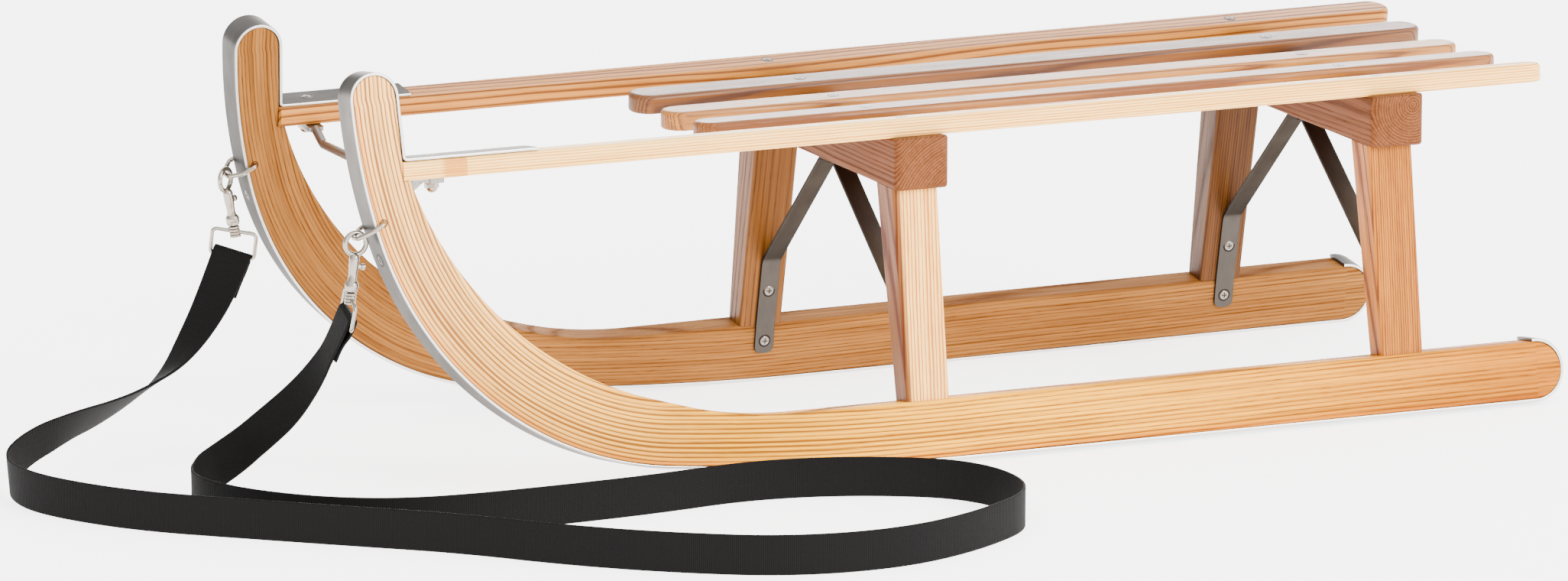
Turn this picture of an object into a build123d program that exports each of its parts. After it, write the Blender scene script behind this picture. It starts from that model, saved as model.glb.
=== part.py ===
from build123d import *
import math
import os

os.makedirs("parts", exist_ok=True)

# A wooden sled with two bent runners, in millimetres.
# +X points forwards to the horns, +Y to the left, +Z up, and the sled stands on Z = 0.
# Side pieces are drawn in a leaning plane: u runs forwards from the front end of the outer slats,
# v runs up the lean from the ground, and w runs outwards from the middle of the runner.

# Driving sizes of the side frames
lean = 8.0                  # degrees that each side frame leans inwards
toe = 0.52                  # degrees that each side frame closes in towards the front
half_track = 155.1          # middle of the runner to the middle of the sled, at the slats' front ends
seat_height = 245.8         # up the lean, to the underside of the outer slats
outer_slat_length = 951.0
runner_width = 25.0
runner_depth = 44.0
band_thickness = 2.5
tail_inset = 0.5            # rear end of the runner, short of the slats' rear ends
tail_radius_share = 0.49    # of the runner's depth
horn_rise = 65.2            # above the slat's top
horn_depth = 34.0
horn_lead = 37.7            # front of the horn, ahead of the slats' front ends
horn_tip_radius_share = 0.497   # of the horn's depth
shoulder_share = 0.165      # of the horn's depth, that carries the outer slat's front end
bend_reach = 370.0          # first bend back from the horn's front

# Bends of the runner's lower and upper edges, in order from the horn down
# columns: forward share of bend_reach, rise share of seat_height, and the share that the
# rounding takes of what the rounding above it leaves of the run between them
lower_bend_shares = [(0.99, 1.0277, 0.690), (0.822, 0.1355, 0.9939), (0.0, 0.0, 0.9298)]
upper_bend_shares = [(0.861, 0.873, 0.985), (0.672, 0.262, 0.9834), (0.19, 0.0, 0.6195)]

# Slats
slat_thickness = 14.5
slat_round_over = 3.5
outer_slat_width = 29.0
inner_slat_width = 30.0
inner_slat_setback = 269.0  # behind the outer slats' front ends
inner_slat_short = 6.0      # short of the outer slats' rear ends
inner_slat_offset = 61.5    # middle of the second slat to the middle of the sled
inner_slat_fan = 0.28       # degrees
inner_slat_lean = 2.9       # degrees
inner_slat_drop = 3.6       # below the outer slats' undersides
middle_slat_drop = 5.9
seat_side_clearance = 0.2

# Crossbeams and legs
beam_depth = 44.0
beam_height = 31.6          # in the middle, to the bottom of the hollow
beam_hollow_drop = 5.3      # bottom of the hollow below the outer slats' undersides
beam_hollow_rise = 8.6      # from the middle to the ends
beam_half = 143.4           # half its length at the slats' front ends, growing rearwards with the toe
beam_corner = 6.0
beam_arris = 2.0
front_overhang = 149.0      # inner slats' front ends to the middle of the front beam
rear_overhang = 132.5       # outer slats' rear ends to the middle of the rear beam
leg_foot_width = 35.2
leg_head_width = 37.0
leg_foot_thickness = 22.5
leg_outer_lean = 0.7        # degrees, on top of the lean of the side frame
leg_inner_lean = 3.6        # degrees, on top of the lean of the side frame
leg_foot_lead = 1.8         # ahead of the middle of the beam
leg_head_lead = 2.7
leg_arris = 2.6

# Flat braces from the middle of each beam down to the runners
brace_width = 15.8
brace_thickness = 2.5
brace_tab = 6.0             # past the middle of the sled, under the beam
brace_start = 10.5          # from the middle of the sled to the first bend
brace_landing_share = 0.335 # of the leg's height, from the runner's top up to where the brace meets it
brace_foot = 22.5           # from the runner's top down to the brace's lower end
brace_bend_radius = 8.0
brace_landing_radius = 14.0
brace_end_radius = 5.0
brace_setback = 1.0         # lower part, behind the middle of the beam
brace_drift = 7.5           # tab ahead of the lower part

# Band
band_on_slat = 108.0        # along the slat behind its front end
band_lap = 2.0              # along the runner's top, past its round rear end
band_bend_radius = 4.0

# Cross rod under the outer slats
rod_diameter = 7.0
rod_setback = 27.0
rod_tab_width = 12.0
rod_tab_thickness = 3.5
rod_tab_inset = 2.0
rod_tab_past = 6.0          # inwards past the slat's edge
rod_tab_corner = 1.2
rod_drop = 9.0
rod_joggle = 16.0
rod_bend_radius = 7.0

# Tow rings through the horns
ring_wire = 3.5
ring_hole_clearance = 0.2
ring_place_share = 0.9473   # of bend_reach
ring_drop = 29.6            # below the outer slats' undersides, down the lean
ring_clearance = 0.5        # beside the band
ring_corner_radius = 2.4
ring_shoulder = 10.5        # forward along the ring, where it starts to close in
ring_shoulder_radius = 3.0
ring_length = 20.7
ring_nose_half_width = 5.0
ring_nose_radius = 6.0
ring_dip = 30.0             # degrees below the side frame's forward line

# Snap hooks that hang from the rings, with a swivel loop for the strap
eye_radius = 8.3
eye_wire = 3.8
hook_play = 0.2             # between the eye and the ring
body_diameter = 7.6
collar_diameter = 10.4
collar_length = 8.0
collar_round = 2.0
barrel_diameter = 8.6
barrel_length = 9.0
barrel_gap = 0.2
bolt_diameter = 3.0
bolt_reach = 9.0            # from the body's axis to the end of the thumb piece
bolt_thumb_diameter = 5.0
bolt_thumb_length = 4.0
bolt_place_share = 0.6      # of the way from the eye's centre to the collar
loop_wire = 3.0
loop_width = 34.0
loop_height = 20.0
loop_corner_radius = 3.5
hook_length = 60.0          # eye's centre to the loop's lower bar

# How each hook hangs
# columns: side, forward lean, inward lean, turn of the eye, turn and tilt of the loop's bar, all in degrees
hook_hangs = [("left", 6.3, 3.2, 0.0, 80.3, 14.5), ("right", -5.0, -0.6, 38.0, -33.6, -7.0)]

# Tow strap: flat webbing that lies on its edge in front of and beside the sled
strap_width = 30.0
strap_thickness = 2.0
strap_corner_share = 0.45   # of the shorter run, that each rounded corner takes

# Route of the strap's middle from the left hook to the right hook
# columns: forward, left, up, and the turn of the width from upright in degrees
left_rise = [(500.7, 123.1, 148.6, 56), (506.7, 118.1, 129.6, 54), (516, 107, 103, 42), (530, 91, 76, 28),
             (547, 76, 55, 21), (563, 61, 36, 18), (584, 52, 20, 10)]
floor_run = [(604, 70), (607, 103), (590, 147), (551, 192), (505, 219), (455, 229), (379, 230), (296, 227),
             (211, 215), (130, 234), (56, 283), (52, 374), (122, 427), (201, 456), (286, 447), (359, 402),
             (422, 347), (477, 283), (542, 229), (605, 175), (663, 124), (700, 69), (717, 22)]
right_rise = [(715, -22, 17, -8), (690, -41, 30, 12), (652, -47, 42, 29), (619, -66, 44, 40),
              (587, -85, 49, 51), (553, -96, 63, 68), (528, -105, 88, 92), (505.2, -115.2, 116.9, 106),
              (488.2, -125.6, 145.2, 116)]

overrun = 60.0              # extra length of every cutting block


def leaning(v, w):
    """Y and Z of a place in the side frame, before the toe turns it."""
    a = math.radians(lean)
    lift = runner_width / 2 * math.sin(a)
    return (-v * math.sin(a) + w * math.cos(a), v * math.cos(a) + w * math.sin(a) + lift)


def side_plane(w):
    """The leaning plane at w: drawn in u and v, it extrudes inwards."""
    a = math.radians(lean)
    y, z = leaning(0, w)
    return Plane(origin=(0, y, z), x_dir=(1, 0, 0), z_dir=(0, -math.cos(a), -math.sin(a)))


def lying_plane(v):
    """The plane across the side frame at height v: drawn in u and w, it extrudes upwards."""
    a = math.radians(lean)
    y, z = leaning(v, 0)
    return Plane(origin=(0, y, z), x_dir=(1, 0, 0), z_dir=(0, -math.sin(a), math.cos(a)))


def to_left(shape):
    """Move a side piece to its place on the left."""
    return Pos(0, half_track, 0) * Rot(0, 0, -toe) * shape


def both_sides(name, shape):
    """The left piece and its mirror image on the right."""
    left = to_left(shape)
    return {name + "_left": left, name + "_right": mirror(left, Plane.XZ)}


def offset_corners(points, gap):
    """Corners of a path moved sideways to its left by gap, with mitred corners."""
    lines = []
    for (x0, y0), (x1, y1) in zip(points, points[1:]):
        run = math.hypot(x1 - x0, y1 - y0)
        nx, ny = -(y1 - y0) / run, (x1 - x0) / run
        lines.append((x0 + nx * gap, y0 + ny * gap, x1 + nx * gap, y1 + ny * gap))
    moved = [lines[0][:2]]
    for (ax, ay, bx, by), (cx, cy, dx, dy) in zip(lines, lines[1:]):
        ux, uy, vx, vy = bx - ax, by - ay, dx - cx, dy - cy
        t = ((cx - ax) * vy - (cy - ay) * vx) / (ux * vy - uy * vx)
        moved.append((ax + t * ux, ay + t * uy))
    moved.append(lines[-1][2:])
    return moved


def strip_face(points, radii, thickness):
    """A strip along a path of corners, its thickness on the right of the path."""
    outer = offset_corners(points, -thickness)
    outer_radii = []
    for a, b, c, r in zip(points, points[1:], points[2:], radii):
        turn = (b[0] - a[0]) * (c[1] - b[1]) - (b[1] - a[1]) * (c[0] - b[0])
        outer_radii.append(r + thickness if turn > 0 else max(r - thickness, 0))
    inner_path = FilletPolyline(*points, radius=radii)
    outer_path = FilletPolyline(*outer, radius=outer_radii)
    start = Line(inner_path @ 0, outer_path @ 0)
    end = Line(inner_path @ 1, outer_path @ 1)
    return make_face(Wire([*inner_path.edges(), end, *outer_path.edges(), start]))


def middle_of(a, b):
    """The place halfway between two places."""
    return tuple((p + q) / 2 for p, q in zip(a, b))


def corner_radius(before, corner, after, run):
    """Radius of the rounding that takes a run from each side of its corner."""
    turn = math.atan2(after[1] - corner[1], after[0] - corner[0])
    turn -= math.atan2(corner[1] - before[1], corner[0] - before[0])
    turn = math.remainder(turn, 2 * math.pi)
    return run / math.tan(abs(turn) / 2)


def bend_corners(table, top, tail):
    """Corners u, v and radii of one row of bends, from the corner above them to the one at the tail."""
    start = horn_lead - bend_reach
    places = [(start + f * bend_reach, tail[1] + h * (seat_height - tail[1])) for f, h, share in table]
    chain = [top, *places, tail]
    corners = []
    run = 0
    for above, place, below, (f, h, share) in zip(chain, chain[1:], chain[2:], table):
        run = share * (math.dist(above, place) - run)
        corners.append((*place, corner_radius(above, place, below, run)))
    return corners


tail_radius = tail_radius_share * runner_depth
tail_end = outer_slat_length - tail_inset
runner_top = band_thickness + runner_depth
slat_top = seat_height + slat_thickness
horn_height = slat_top + horn_rise
horn_back = horn_lead - horn_depth
tip_radius = horn_tip_radius_share * horn_depth
shoulder = (-shoulder_share * horn_depth, seat_height)
front_beam_place = inner_slat_setback + front_overhang
rear_beam_place = outer_slat_length - rear_overhang
inner_slat_length = outer_slat_length - inner_slat_setback - inner_slat_short
lower_bends = bend_corners(lower_bend_shares, (horn_lead, horn_height), (-tail_end, band_thickness))[::-1]
upper_bends = bend_corners(upper_bend_shares, shoulder, (-tail_end, runner_top))
seat_level = leaning(seat_height, runner_width / 2 - outer_slat_width / 2)[1]
beam_under = seat_level - beam_hollow_drop - beam_height
leg_inner = -runner_width / 2
leg_outer = leg_inner + leg_foot_thickness
ring_place = horn_lead - bend_reach + ring_place_share * bend_reach


def make_runner():
    """The bent runner: round rear end, straight sole, gentle bend and upright horn."""
    corners = [(-tail_end, band_thickness, tail_radius), *lower_bends,
               (horn_lead, horn_height, tip_radius), (horn_back, horn_height, tip_radius),
               (0, slat_top, 0), (0, seat_height, 0), (*shoulder, 0),
               *upper_bends, (-tail_end, runner_top, tail_radius)]
    places = [(u, v) for u, v, r in corners]
    outline = FilletPolyline(*places, radius=[r for u, v, r in corners], close=True)
    runner = extrude(side_plane(runner_width / 2) * make_face(outline), amount=runner_width)
    drill = Circle(ring_wire / 2 + ring_hole_clearance)
    drilled = side_plane(0) * Pos(ring_place, seat_height - ring_drop)
    hole = extrude(drilled * drill, amount=overrun, both=True)
    return runner - hole


def make_band():
    """The flat band round the runner: rear end, sole, bend, horn tip, and on to the slat."""
    corners = [(tail_radius + band_lap - tail_end, runner_top, 0), (-tail_end, runner_top, tail_radius),
               (-tail_end, band_thickness, tail_radius), *lower_bends,
               (horn_lead, horn_height, tip_radius), (horn_back, horn_height, tip_radius),
               (0, slat_top, band_bend_radius), (-band_on_slat, slat_top, 0)]
    face = strip_face([(u, v) for u, v, r in corners], [r for u, v, r in corners[1:-1]], band_thickness)
    return extrude(side_plane(runner_width / 2) * face, amount=runner_width)


def slat_block(length, width, square_front):
    """A slat on its own underside, front end at X = 0, round ended and rounded over."""
    body = SlotOverall(length, width)
    body = Pos(-length / 2, 0) * body
    if square_front:
        body += Pos(-width / 2, 0) * Rectangle(width, width)
    slat = extrude(body, amount=slat_thickness)
    rim = slat.faces().sort_by(Axis.Z)[-1].edges()
    if square_front:
        rim = rim.filter_by(lambda e: e.center().X < -slat_round_over / 2)
    return fillet(rim, slat_round_over)


def outer_slat_place():
    """Frame of the outer slat's underside, in the side frame."""
    return lying_plane(seat_height) * Pos(0, runner_width / 2 - outer_slat_width / 2, 0)


def slat_places():
    """Name, place and width of each slat."""
    left_outer = Pos(0, half_track, 0) * Rot(0, 0, -toe) * outer_slat_place()
    reach = inner_slat_setback + inner_slat_length / 2
    left_y = inner_slat_offset - reach * math.tan(math.radians(inner_slat_fan))
    left_inner = Pos(0, left_y, seat_level - inner_slat_drop) * Rot(inner_slat_lean, 0, -inner_slat_fan)
    middle = Pos(0, 0, seat_level - middle_slat_drop)
    return [("outer", left_outer, outer_slat_width), ("inner", left_inner, inner_slat_width),
            ("middle", middle, inner_slat_width)]


def make_slats():
    """Five slats: two long outer ones let into the horns, three short inner ones."""
    slats = {}
    for name, place, width in slat_places():
        if name == "outer":
            block = slat_block(outer_slat_length, width, True)
        else:
            block = Pos(-inner_slat_setback, 0, 0) * slat_block(inner_slat_length, width, False)
        slat = place * block
        if name == "middle":
            slats["slat_middle"] = slat
        else:
            slats[f"slat_{name}_left"] = slat
            slats[f"slat_{name}_right"] = mirror(slat, Plane.XZ)
    return slats


def make_beam(place):
    """A crossbeam with a hollowed top, cut with a flat seat for each slat."""
    half = beam_half + place * math.tan(math.radians(toe))
    low = beam_under + beam_height
    top_end = low + beam_hollow_rise
    outline = Polyline((-half, top_end), (-half, beam_under), (half, beam_under), (half, top_end))
    hollow = ThreePointArc((half, top_end), (0, low), (-half, top_end))
    beam = extrude(Plane.YZ * make_face(Wire([*outline.edges(), hollow])), amount=beam_depth / 2, both=True)
    beam = fillet(beam.edges().filter_by(Axis.Z), beam_corner)
    beam = chamfer(beam.faces().sort_by(Axis.Z)[0].edges(), beam_arris)
    beam = Pos(-place, 0, 0) * beam
    for name, slat_place, width in slat_places():
        cutter = Box(overrun + 2 * beam_depth, width + 2 * seat_side_clearance, overrun,
                     align=(Align.CENTER, Align.CENTER, Align.MIN))
        seat = slat_place * Pos(-place, 0, 0) * cutter
        beam -= seat
        if name != "middle":
            beam -= mirror(seat, Plane.XZ)
    return beam


def leg_line(w, extra_lean, height):
    """Y on the leg's face that starts at w on the runner's top, at a height Z."""
    y, z = leaning(runner_top, w)
    return y - (height - z) * math.tan(math.radians(lean + extra_lean))


def make_leg(place):
    """A tapered leg from the runner's top to the underside of a crossbeam."""
    inner_foot, outer_foot = leaning(runner_top, leg_inner), leaning(runner_top, leg_outer)
    inner_head = (leg_line(leg_inner, leg_inner_lean, beam_under), beam_under)
    outer_head = (leg_line(leg_outer, leg_outer_lean, beam_under), beam_under)
    ends = []
    for inner, outer, lead, width in ((inner_foot, outer_foot, leg_foot_lead, leg_foot_width),
                                      (inner_head, outer_head, leg_head_lead, leg_head_width)):
        front, back = lead + width / 2, lead - width / 2
        corners = [(front, *inner), (front, *outer), (back, *outer), (back, *inner)]
        ends.append(make_face(Polyline(*corners, close=True)))
    leg = loft(ends, ruled=True)
    arrises = [e for e in leg.edges() if abs(e.tangent_at(0).Z) > 0.9]
    leg = fillet(arrises, leg_arris)
    return Pos(-place, 0, 0) * leg


def make_brace(place, drop):
    """A flat brace: tab under the beam, slope out to the leg, and down over the runner's side."""
    track = half_track + place * math.tan(math.radians(toe))
    under = beam_under - drop
    joint = leaning(runner_top, leg_inner)
    landing_z = joint[1] + brace_landing_share * (beam_under - joint[1])
    knee = (leg_line(leg_inner, leg_inner_lean, landing_z), landing_z)
    foot = leaning(runner_top - brace_foot, leg_inner)
    path = [(-track - brace_tab, under), (-track + brace_start, under), knee, joint, foot]
    radii = [brace_bend_radius, brace_landing_radius, brace_landing_radius]
    strip = extrude(Plane.YZ * strip_face(path, radii, brace_thickness), amount=overrun, both=True)
    edge = [(0, -overrun), (0, landing_z), (brace_drift, under), (brace_drift, under + overrun)]
    front = [(x + brace_width / 2, z) for x, z in edge]
    back = [(x - brace_width / 2, z) for x, z in reversed(edge)]
    reach = track + overrun
    strip &= extrude(Plane.XZ * make_face(Polyline(*front, *back, close=True)), amount=reach, both=True)
    low_end = strip.faces().sort_by(Axis.Z)[0]
    corners = [e for e in low_end.edges() if abs(e.tangent_at(0).X) < 0.5]
    strip = fillet(corners, brace_end_radius)
    return Pos(-place - brace_setback, 0, 0) * strip


def make_rod():
    """The cross rod: flat tabs under the outer slats, a joggle down and a round middle."""
    track = half_track + rod_setback * math.tan(math.radians(toe))
    inner_edge = runner_width / 2 - outer_slat_width
    tab_line = [leaning(seat_height, inner_edge - rod_tab_past),
                leaning(seat_height, runner_width / 2 - rod_tab_inset)]
    tab_outline = [*tab_line, *reversed(offset_corners(tab_line, -rod_tab_thickness))]
    tab_face = Plane.YZ * make_face(Polyline(*tab_outline, close=True))
    tab = extrude(tab_face, amount=rod_tab_width / 2, both=True)
    ends = [e for e in tab.edges() if abs(e.tangent_at(0).X) < 0.1 and abs(e.tangent_at(0).Z) > 0.9]
    tab = to_left(Pos(-rod_setback, 0, 0) * fillet(ends, rod_tab_corner))
    start_w = inner_edge - rod_tab_past + rod_diameter / 4
    start_y, start_z = leaning(seat_height - rod_tab_thickness / 2, start_w)
    left = [(track + start_y, start_z), (track + start_y - rod_joggle, start_z - rod_drop)]
    path = FilletPolyline(*left, *[(-y, z) for y, z in reversed(left)], radius=rod_bend_radius)
    path = Plane.YZ * Wire(path.edges())
    bar = sweep(Plane(origin=path @ 0, z_dir=path % 0) * Circle(rod_diameter / 2), path=path)
    bar = Pos(-rod_setback, 0, 0) * bar
    return bar + tab + mirror(tab, Plane.XZ)


def ring_vectors():
    """The ring's forward and cross directions, and the middle of its hole, in the side frame."""
    dip = math.radians(ring_dip)
    a = math.radians(lean)
    forward = Vector(math.cos(dip), math.sin(dip) * math.sin(a), -math.sin(dip) * math.cos(a))
    across = Vector(0, math.cos(a), math.sin(a))
    return forward, across, Vector(ring_place, *leaning(seat_height - ring_drop, 0))


def make_tow_ring():
    """A link through the hole in the horn and round the front of the band."""
    forward, across, middle = ring_vectors()
    plane = Plane(origin=middle, x_dir=across, z_dir=across.cross(forward))
    half = runner_width / 2 + ring_wire / 2 + ring_clearance
    right = [(half, 0, ring_corner_radius), (half, ring_shoulder, ring_shoulder_radius),
             (ring_nose_half_width, ring_length, ring_nose_radius)]
    corners = right + [(-x, y, r) for x, y, r in reversed(right)]
    places = [(x, y) for x, y, r in corners]
    outline = FilletPolyline(*places, radius=[r for x, y, r in corners], close=True)
    path = plane * Wire(outline.edges())
    section = Plane(origin=path @ 0, z_dir=path % 0) * Circle(ring_wire / 2)
    return sweep(section, path=path)


def rod(start, end, diameter):
    """A round rod between two places."""
    return extrude(Plane(origin=start, z_dir=end - start) * Circle(diameter / 2), amount=(end - start).length)


def make_hook(side, forward_lean, inward_lean, eye_turn, bar_turn, bar_tilt):
    """Snap hook, its thumb bolt and its swivel loop, hanging from the nose of a ring."""
    forward, across, middle = ring_vectors()
    nose = to_left(Pos(*(middle + forward * ring_length))).position
    outward = 1 if side == "left" else -1
    eye = Vector(nose.X, outward * nose.Y, nose.Z + (ring_wire + eye_wire) / 2 + hook_play - eye_radius)
    fall = Vector(math.tan(math.radians(forward_lean)), -outward * math.tan(math.radians(inward_lean)), -1)
    bar = eye + fall.normalized() * hook_length
    turn, tilt = math.radians(bar_turn), math.radians(bar_tilt)
    along = Vector(math.cos(turn) * math.cos(tilt), math.sin(turn) * math.cos(tilt), -math.sin(tilt))
    rise = eye - bar
    rise = (rise - along * rise.dot(along)).normalized()
    swivel = bar + rise * loop_height
    axis = (swivel - eye).normalized()
    collar_top = swivel - axis * (barrel_length / 2 + barrel_gap + collar_length)

    a = math.radians(eye_turn)
    eye_plane = Plane(origin=eye, x_dir=(math.cos(a), math.sin(a), 0), z_dir=(-math.sin(a), math.cos(a), 0))
    hook = eye_plane * Torus(eye_radius, eye_wire / 2)
    hook += rod(eye + axis * eye_radius, collar_top, body_diameter)
    collar = rod(collar_top, collar_top + axis * collar_length, collar_diameter)
    hook += fillet(collar.edges(), collar_round)

    sideways = -(eye_plane.x_dir - axis * eye_plane.x_dir.dot(axis)).normalized()
    knob = eye + axis * (bolt_place_share * (collar_top - eye).length)
    reach = knob + sideways * bolt_reach
    bolt = rod(knob + sideways * (body_diameter / 2), reach, bolt_diameter)
    bolt += rod(reach - sideways * bolt_thumb_length, reach, bolt_thumb_diameter)

    loop_plane = Plane(origin=(bar + swivel) / 2, x_dir=along, z_dir=along.cross(rise))
    loop_path = loop_plane * Wire(RectangleRounded(loop_width, loop_height, loop_corner_radius).edges())
    loop = sweep(Plane(origin=loop_path @ 0, z_dir=loop_path % 0) * Circle(loop_wire / 2), path=loop_path)
    loop += rod(swivel - axis * (barrel_length / 2), swivel + axis * (barrel_length / 2), barrel_diameter)
    return {f"snap_hook_{side}": hook, f"snap_bolt_{side}": bolt, f"swivel_loop_{side}": loop}


def strap_section(place, heading, turn):
    """Cross-section of the strap: its width stands upright, turned about its heading."""
    heading = heading.normalized()
    level = heading.cross(Vector(0, 0, 1)).normalized()
    upright = level.cross(heading)
    a = math.radians(turn)
    width = upright * math.cos(a) + level * math.sin(a)
    return Plane(origin=place, x_dir=width, z_dir=heading) * Rectangle(strap_width, strap_thickness)


def strap_sections(rows):
    """Sections of the strap along a rise: its ends, the middles of its runs and its rounded corners."""
    places = [Vector(*row[:3]) for row in rows]
    turns = [row[3] for row in rows]
    middles = [(a + b) / 2 for a, b in zip(places, places[1:])]
    sections = [strap_section(places[0], places[1] - places[0], turns[0])]
    for i, middle in enumerate(middles):
        if i > 0:
            corner = (middles[i - 1] + middle) / 4 + places[i] / 2
            sections.append(strap_section(corner, middle - middles[i - 1], turns[i]))
        sections.append(strap_section(middle, places[i + 1] - places[i], (turns[i] + turns[i + 1]) / 2))
    sections.append(strap_section(places[-1], places[-1] - places[-2], turns[-1]))
    return sections


def make_strap():
    """The strap: a left rise, a run on its edge along the ground, and a right rise."""
    on_ground = [(x, y, strap_width / 2, 0) for x, y in floor_run]
    corners = [middle_of(*floor_run[:2]), *floor_run[1:-1], middle_of(*floor_run[-2:])]
    threes = zip(floor_run, floor_run[1:], floor_run[2:])
    radii = [corner_radius(a, b, c, strap_corner_share * min(math.dist(a, b), math.dist(b, c)))
             for a, b, c in threes]
    outline = strip_face(offset_corners(corners, strap_thickness / 2), radii, strap_thickness)
    ground_length = FilletPolyline(*corners, radius=radii).length
    print("bends", lower_bends, upper_bends)
    print("strap radii", [round(r) for r in radii])
    print("strap on the ground", ground_length, "its volume", ground_length * strap_width * strap_thickness)
    return {"tow_strap": extrude(outline, amount=strap_width),
            "tow_strap_left_rise": loft(strap_sections([*left_rise, *on_ground[:2]])[:-1], ruled=True),
            "tow_strap_right_rise": loft(strap_sections([*on_ground[-2:], *right_rise])[1:], ruled=True)}


parts = {}
parts.update(both_sides("runner", make_runner()))
parts.update(both_sides("runner_band", make_band()))
parts.update(make_slats())
for end, place in (("front", front_beam_place), ("rear", rear_beam_place)):
    parts[f"crossbeam_{end}"] = make_beam(place)
    parts.update(both_sides(f"leg_{end}", make_leg(place)))
    parts[f"brace_{end}_left"] = to_left(make_brace(place, 0))
    parts[f"brace_{end}_right"] = mirror(to_left(make_brace(place, brace_thickness)), Plane.XZ)
parts["cross_rod"] = make_rod()
parts.update(both_sides("tow_ring", make_tow_ring()))

# The sled's middle comes to X = 0, and the strap's route is given from there
boxes = [piece.bounding_box() for piece in parts.values()]
front = max(b.max.X for b in boxes)
back = min(b.min.X for b in boxes)
print("length", front - back, "width", 2 * max(b.max.Y for b in boxes), "height", max(b.max.Z for b in boxes))
print("lowest", min(b.min.Z for b in boxes), "moved forwards by", -(front + back) / 2)
for hang in hook_hangs:
    parts.update(make_hook(*hang))
parts = {name: Pos(-(front + back) / 2, 0, 0) * piece for name, piece in parts.items()}
parts.update(make_strap())
for name, piece in parts.items():
    export_step(piece, f"parts/{name}.step")
    print(name, len(piece.solids()), round(piece.volume))
for side in ("left", "right"):
    rise, loop = parts[f"tow_strap_{side}_rise"], parts[f"swivel_loop_{side}"]
    print(side, "strap to loop", rise.distance_to(loop), "overlap", (rise & loop).volume)
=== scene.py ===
"""The sled dressed for the picture: timber, steel and webbing round the solids, a studio and a camera."""
import math

import bmesh
import bpy
from mathutils import Matrix, Vector


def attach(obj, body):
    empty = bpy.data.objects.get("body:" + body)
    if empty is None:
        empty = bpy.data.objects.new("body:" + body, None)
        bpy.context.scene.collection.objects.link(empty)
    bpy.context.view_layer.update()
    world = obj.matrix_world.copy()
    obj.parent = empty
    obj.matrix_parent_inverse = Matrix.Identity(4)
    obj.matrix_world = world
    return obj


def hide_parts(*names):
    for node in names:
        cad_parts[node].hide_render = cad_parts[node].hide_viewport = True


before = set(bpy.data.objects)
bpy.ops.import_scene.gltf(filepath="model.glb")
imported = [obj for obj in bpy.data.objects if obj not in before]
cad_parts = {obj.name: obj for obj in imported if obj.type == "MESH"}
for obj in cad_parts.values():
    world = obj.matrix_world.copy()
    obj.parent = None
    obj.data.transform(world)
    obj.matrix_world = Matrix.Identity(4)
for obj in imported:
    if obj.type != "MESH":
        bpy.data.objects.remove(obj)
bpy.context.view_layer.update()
mm = 0.001

# The view of the photograph, in metres, degrees and millimetres of lens
camera_place = (3.9496, 8.3275, 2.1100)
camera_yaw = 24.889
camera_pitch = -12.319
camera_roll = 0.205
focal_length = 283.18
sensor_width = 36.0
view_reach = 100.0

# The studio: sky from dim to bright round the bright side, with a low bright field behind the sled
bright_side = (-0.6, 0.75, 0.3)
sky_range = (1.1, 3.9)
glare_side = (-0.41, -0.89, 0.17)
glare_edge = 0.95
glare = 16.0
floor_reach = 30.0
floor_white = (0.92, 0.92, 0.92)
floor_roughness = 0.9
floor_glow = 3.0
white = (1.0, 1.0, 1.0)
key_place = (-2.2, 5.0, 2.8)
key_target = (0, 0, 0.1)
key_size = 2.2
key_power = 420.0

# The sled's pieces, in millimetres and degrees, as the solids have them
lean = 8.0
toe = 0.52
half_track = 155.1
forward_shift = 457.031
runner_width = 25.0
band_thickness = 2.5
tail_end = 950.5
tail_radius = 21.56
runner_top = 46.5
horn_lead = 37.7
horn_back = 3.7
horn_height = 325.5
tip_radius = 16.898
slat_top = 260.3
seat_height = 245.8
shoulder = (-5.61, seat_height)
# columns: forward, up, radius
lower_bends = [(-332.3, band_thickness, 2264.45), (-28.16, 35.467, 259.241), (34.0, 252.539, 439.818)]
upper_bends = [(-13.73, 220.489, 247.437), (-83.66, 98.717, 279.36), (-262.0, runner_top, 317.517)]
band_on_slat = 108.0
band_lap = 2.0
band_bend_radius = 4.0
outer_slat_length = 951.0
outer_slat_width = 29.0
outer_slat_middle = runner_width / 2 - outer_slat_width / 2
inner_slat_width = 30.0
inner_slat_length = 676.0
inner_slat_setback = 269.0
inner_slat_offset = 61.5
inner_slat_fan = 0.28
inner_slat_lean = 2.9
inner_slat_drop = 3.6
middle_slat_drop = 5.9
inner_reach = 607.0
slat_thickness = 14.5
slat_round_over = 3.5
seat_clearance = 0.2
seat_level = 244.869
beam_depth = 44.0
beam_height = 31.6
beam_hollow_rise = 8.6
beam_half = 143.4
beam_corner = 6.0
beam_arris = 2.0
beam_under = 207.969
beam_places = {"front": 418.0, "rear": 818.5}
leg_inner = -runner_width / 2
leg_outer = 10.0
leg_inner_lean = 3.6
leg_outer_lean = 0.7
leg_foot_width = 35.2
leg_head_width = 37.0
leg_foot_lead = 1.8
leg_head_lead = 2.7
leg_arris = 2.6
brace_width = 15.8
brace_thickness = 2.5
brace_tab = 6.0
brace_start = 10.5
brace_landing_share = 0.335
brace_foot = 22.5
brace_bend_radius = 8.0
brace_landing_radius = 14.0
brace_end_radius = 5.0
brace_setback = 1.0
brace_drift = 7.5
sides = ("left", "right")

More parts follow.
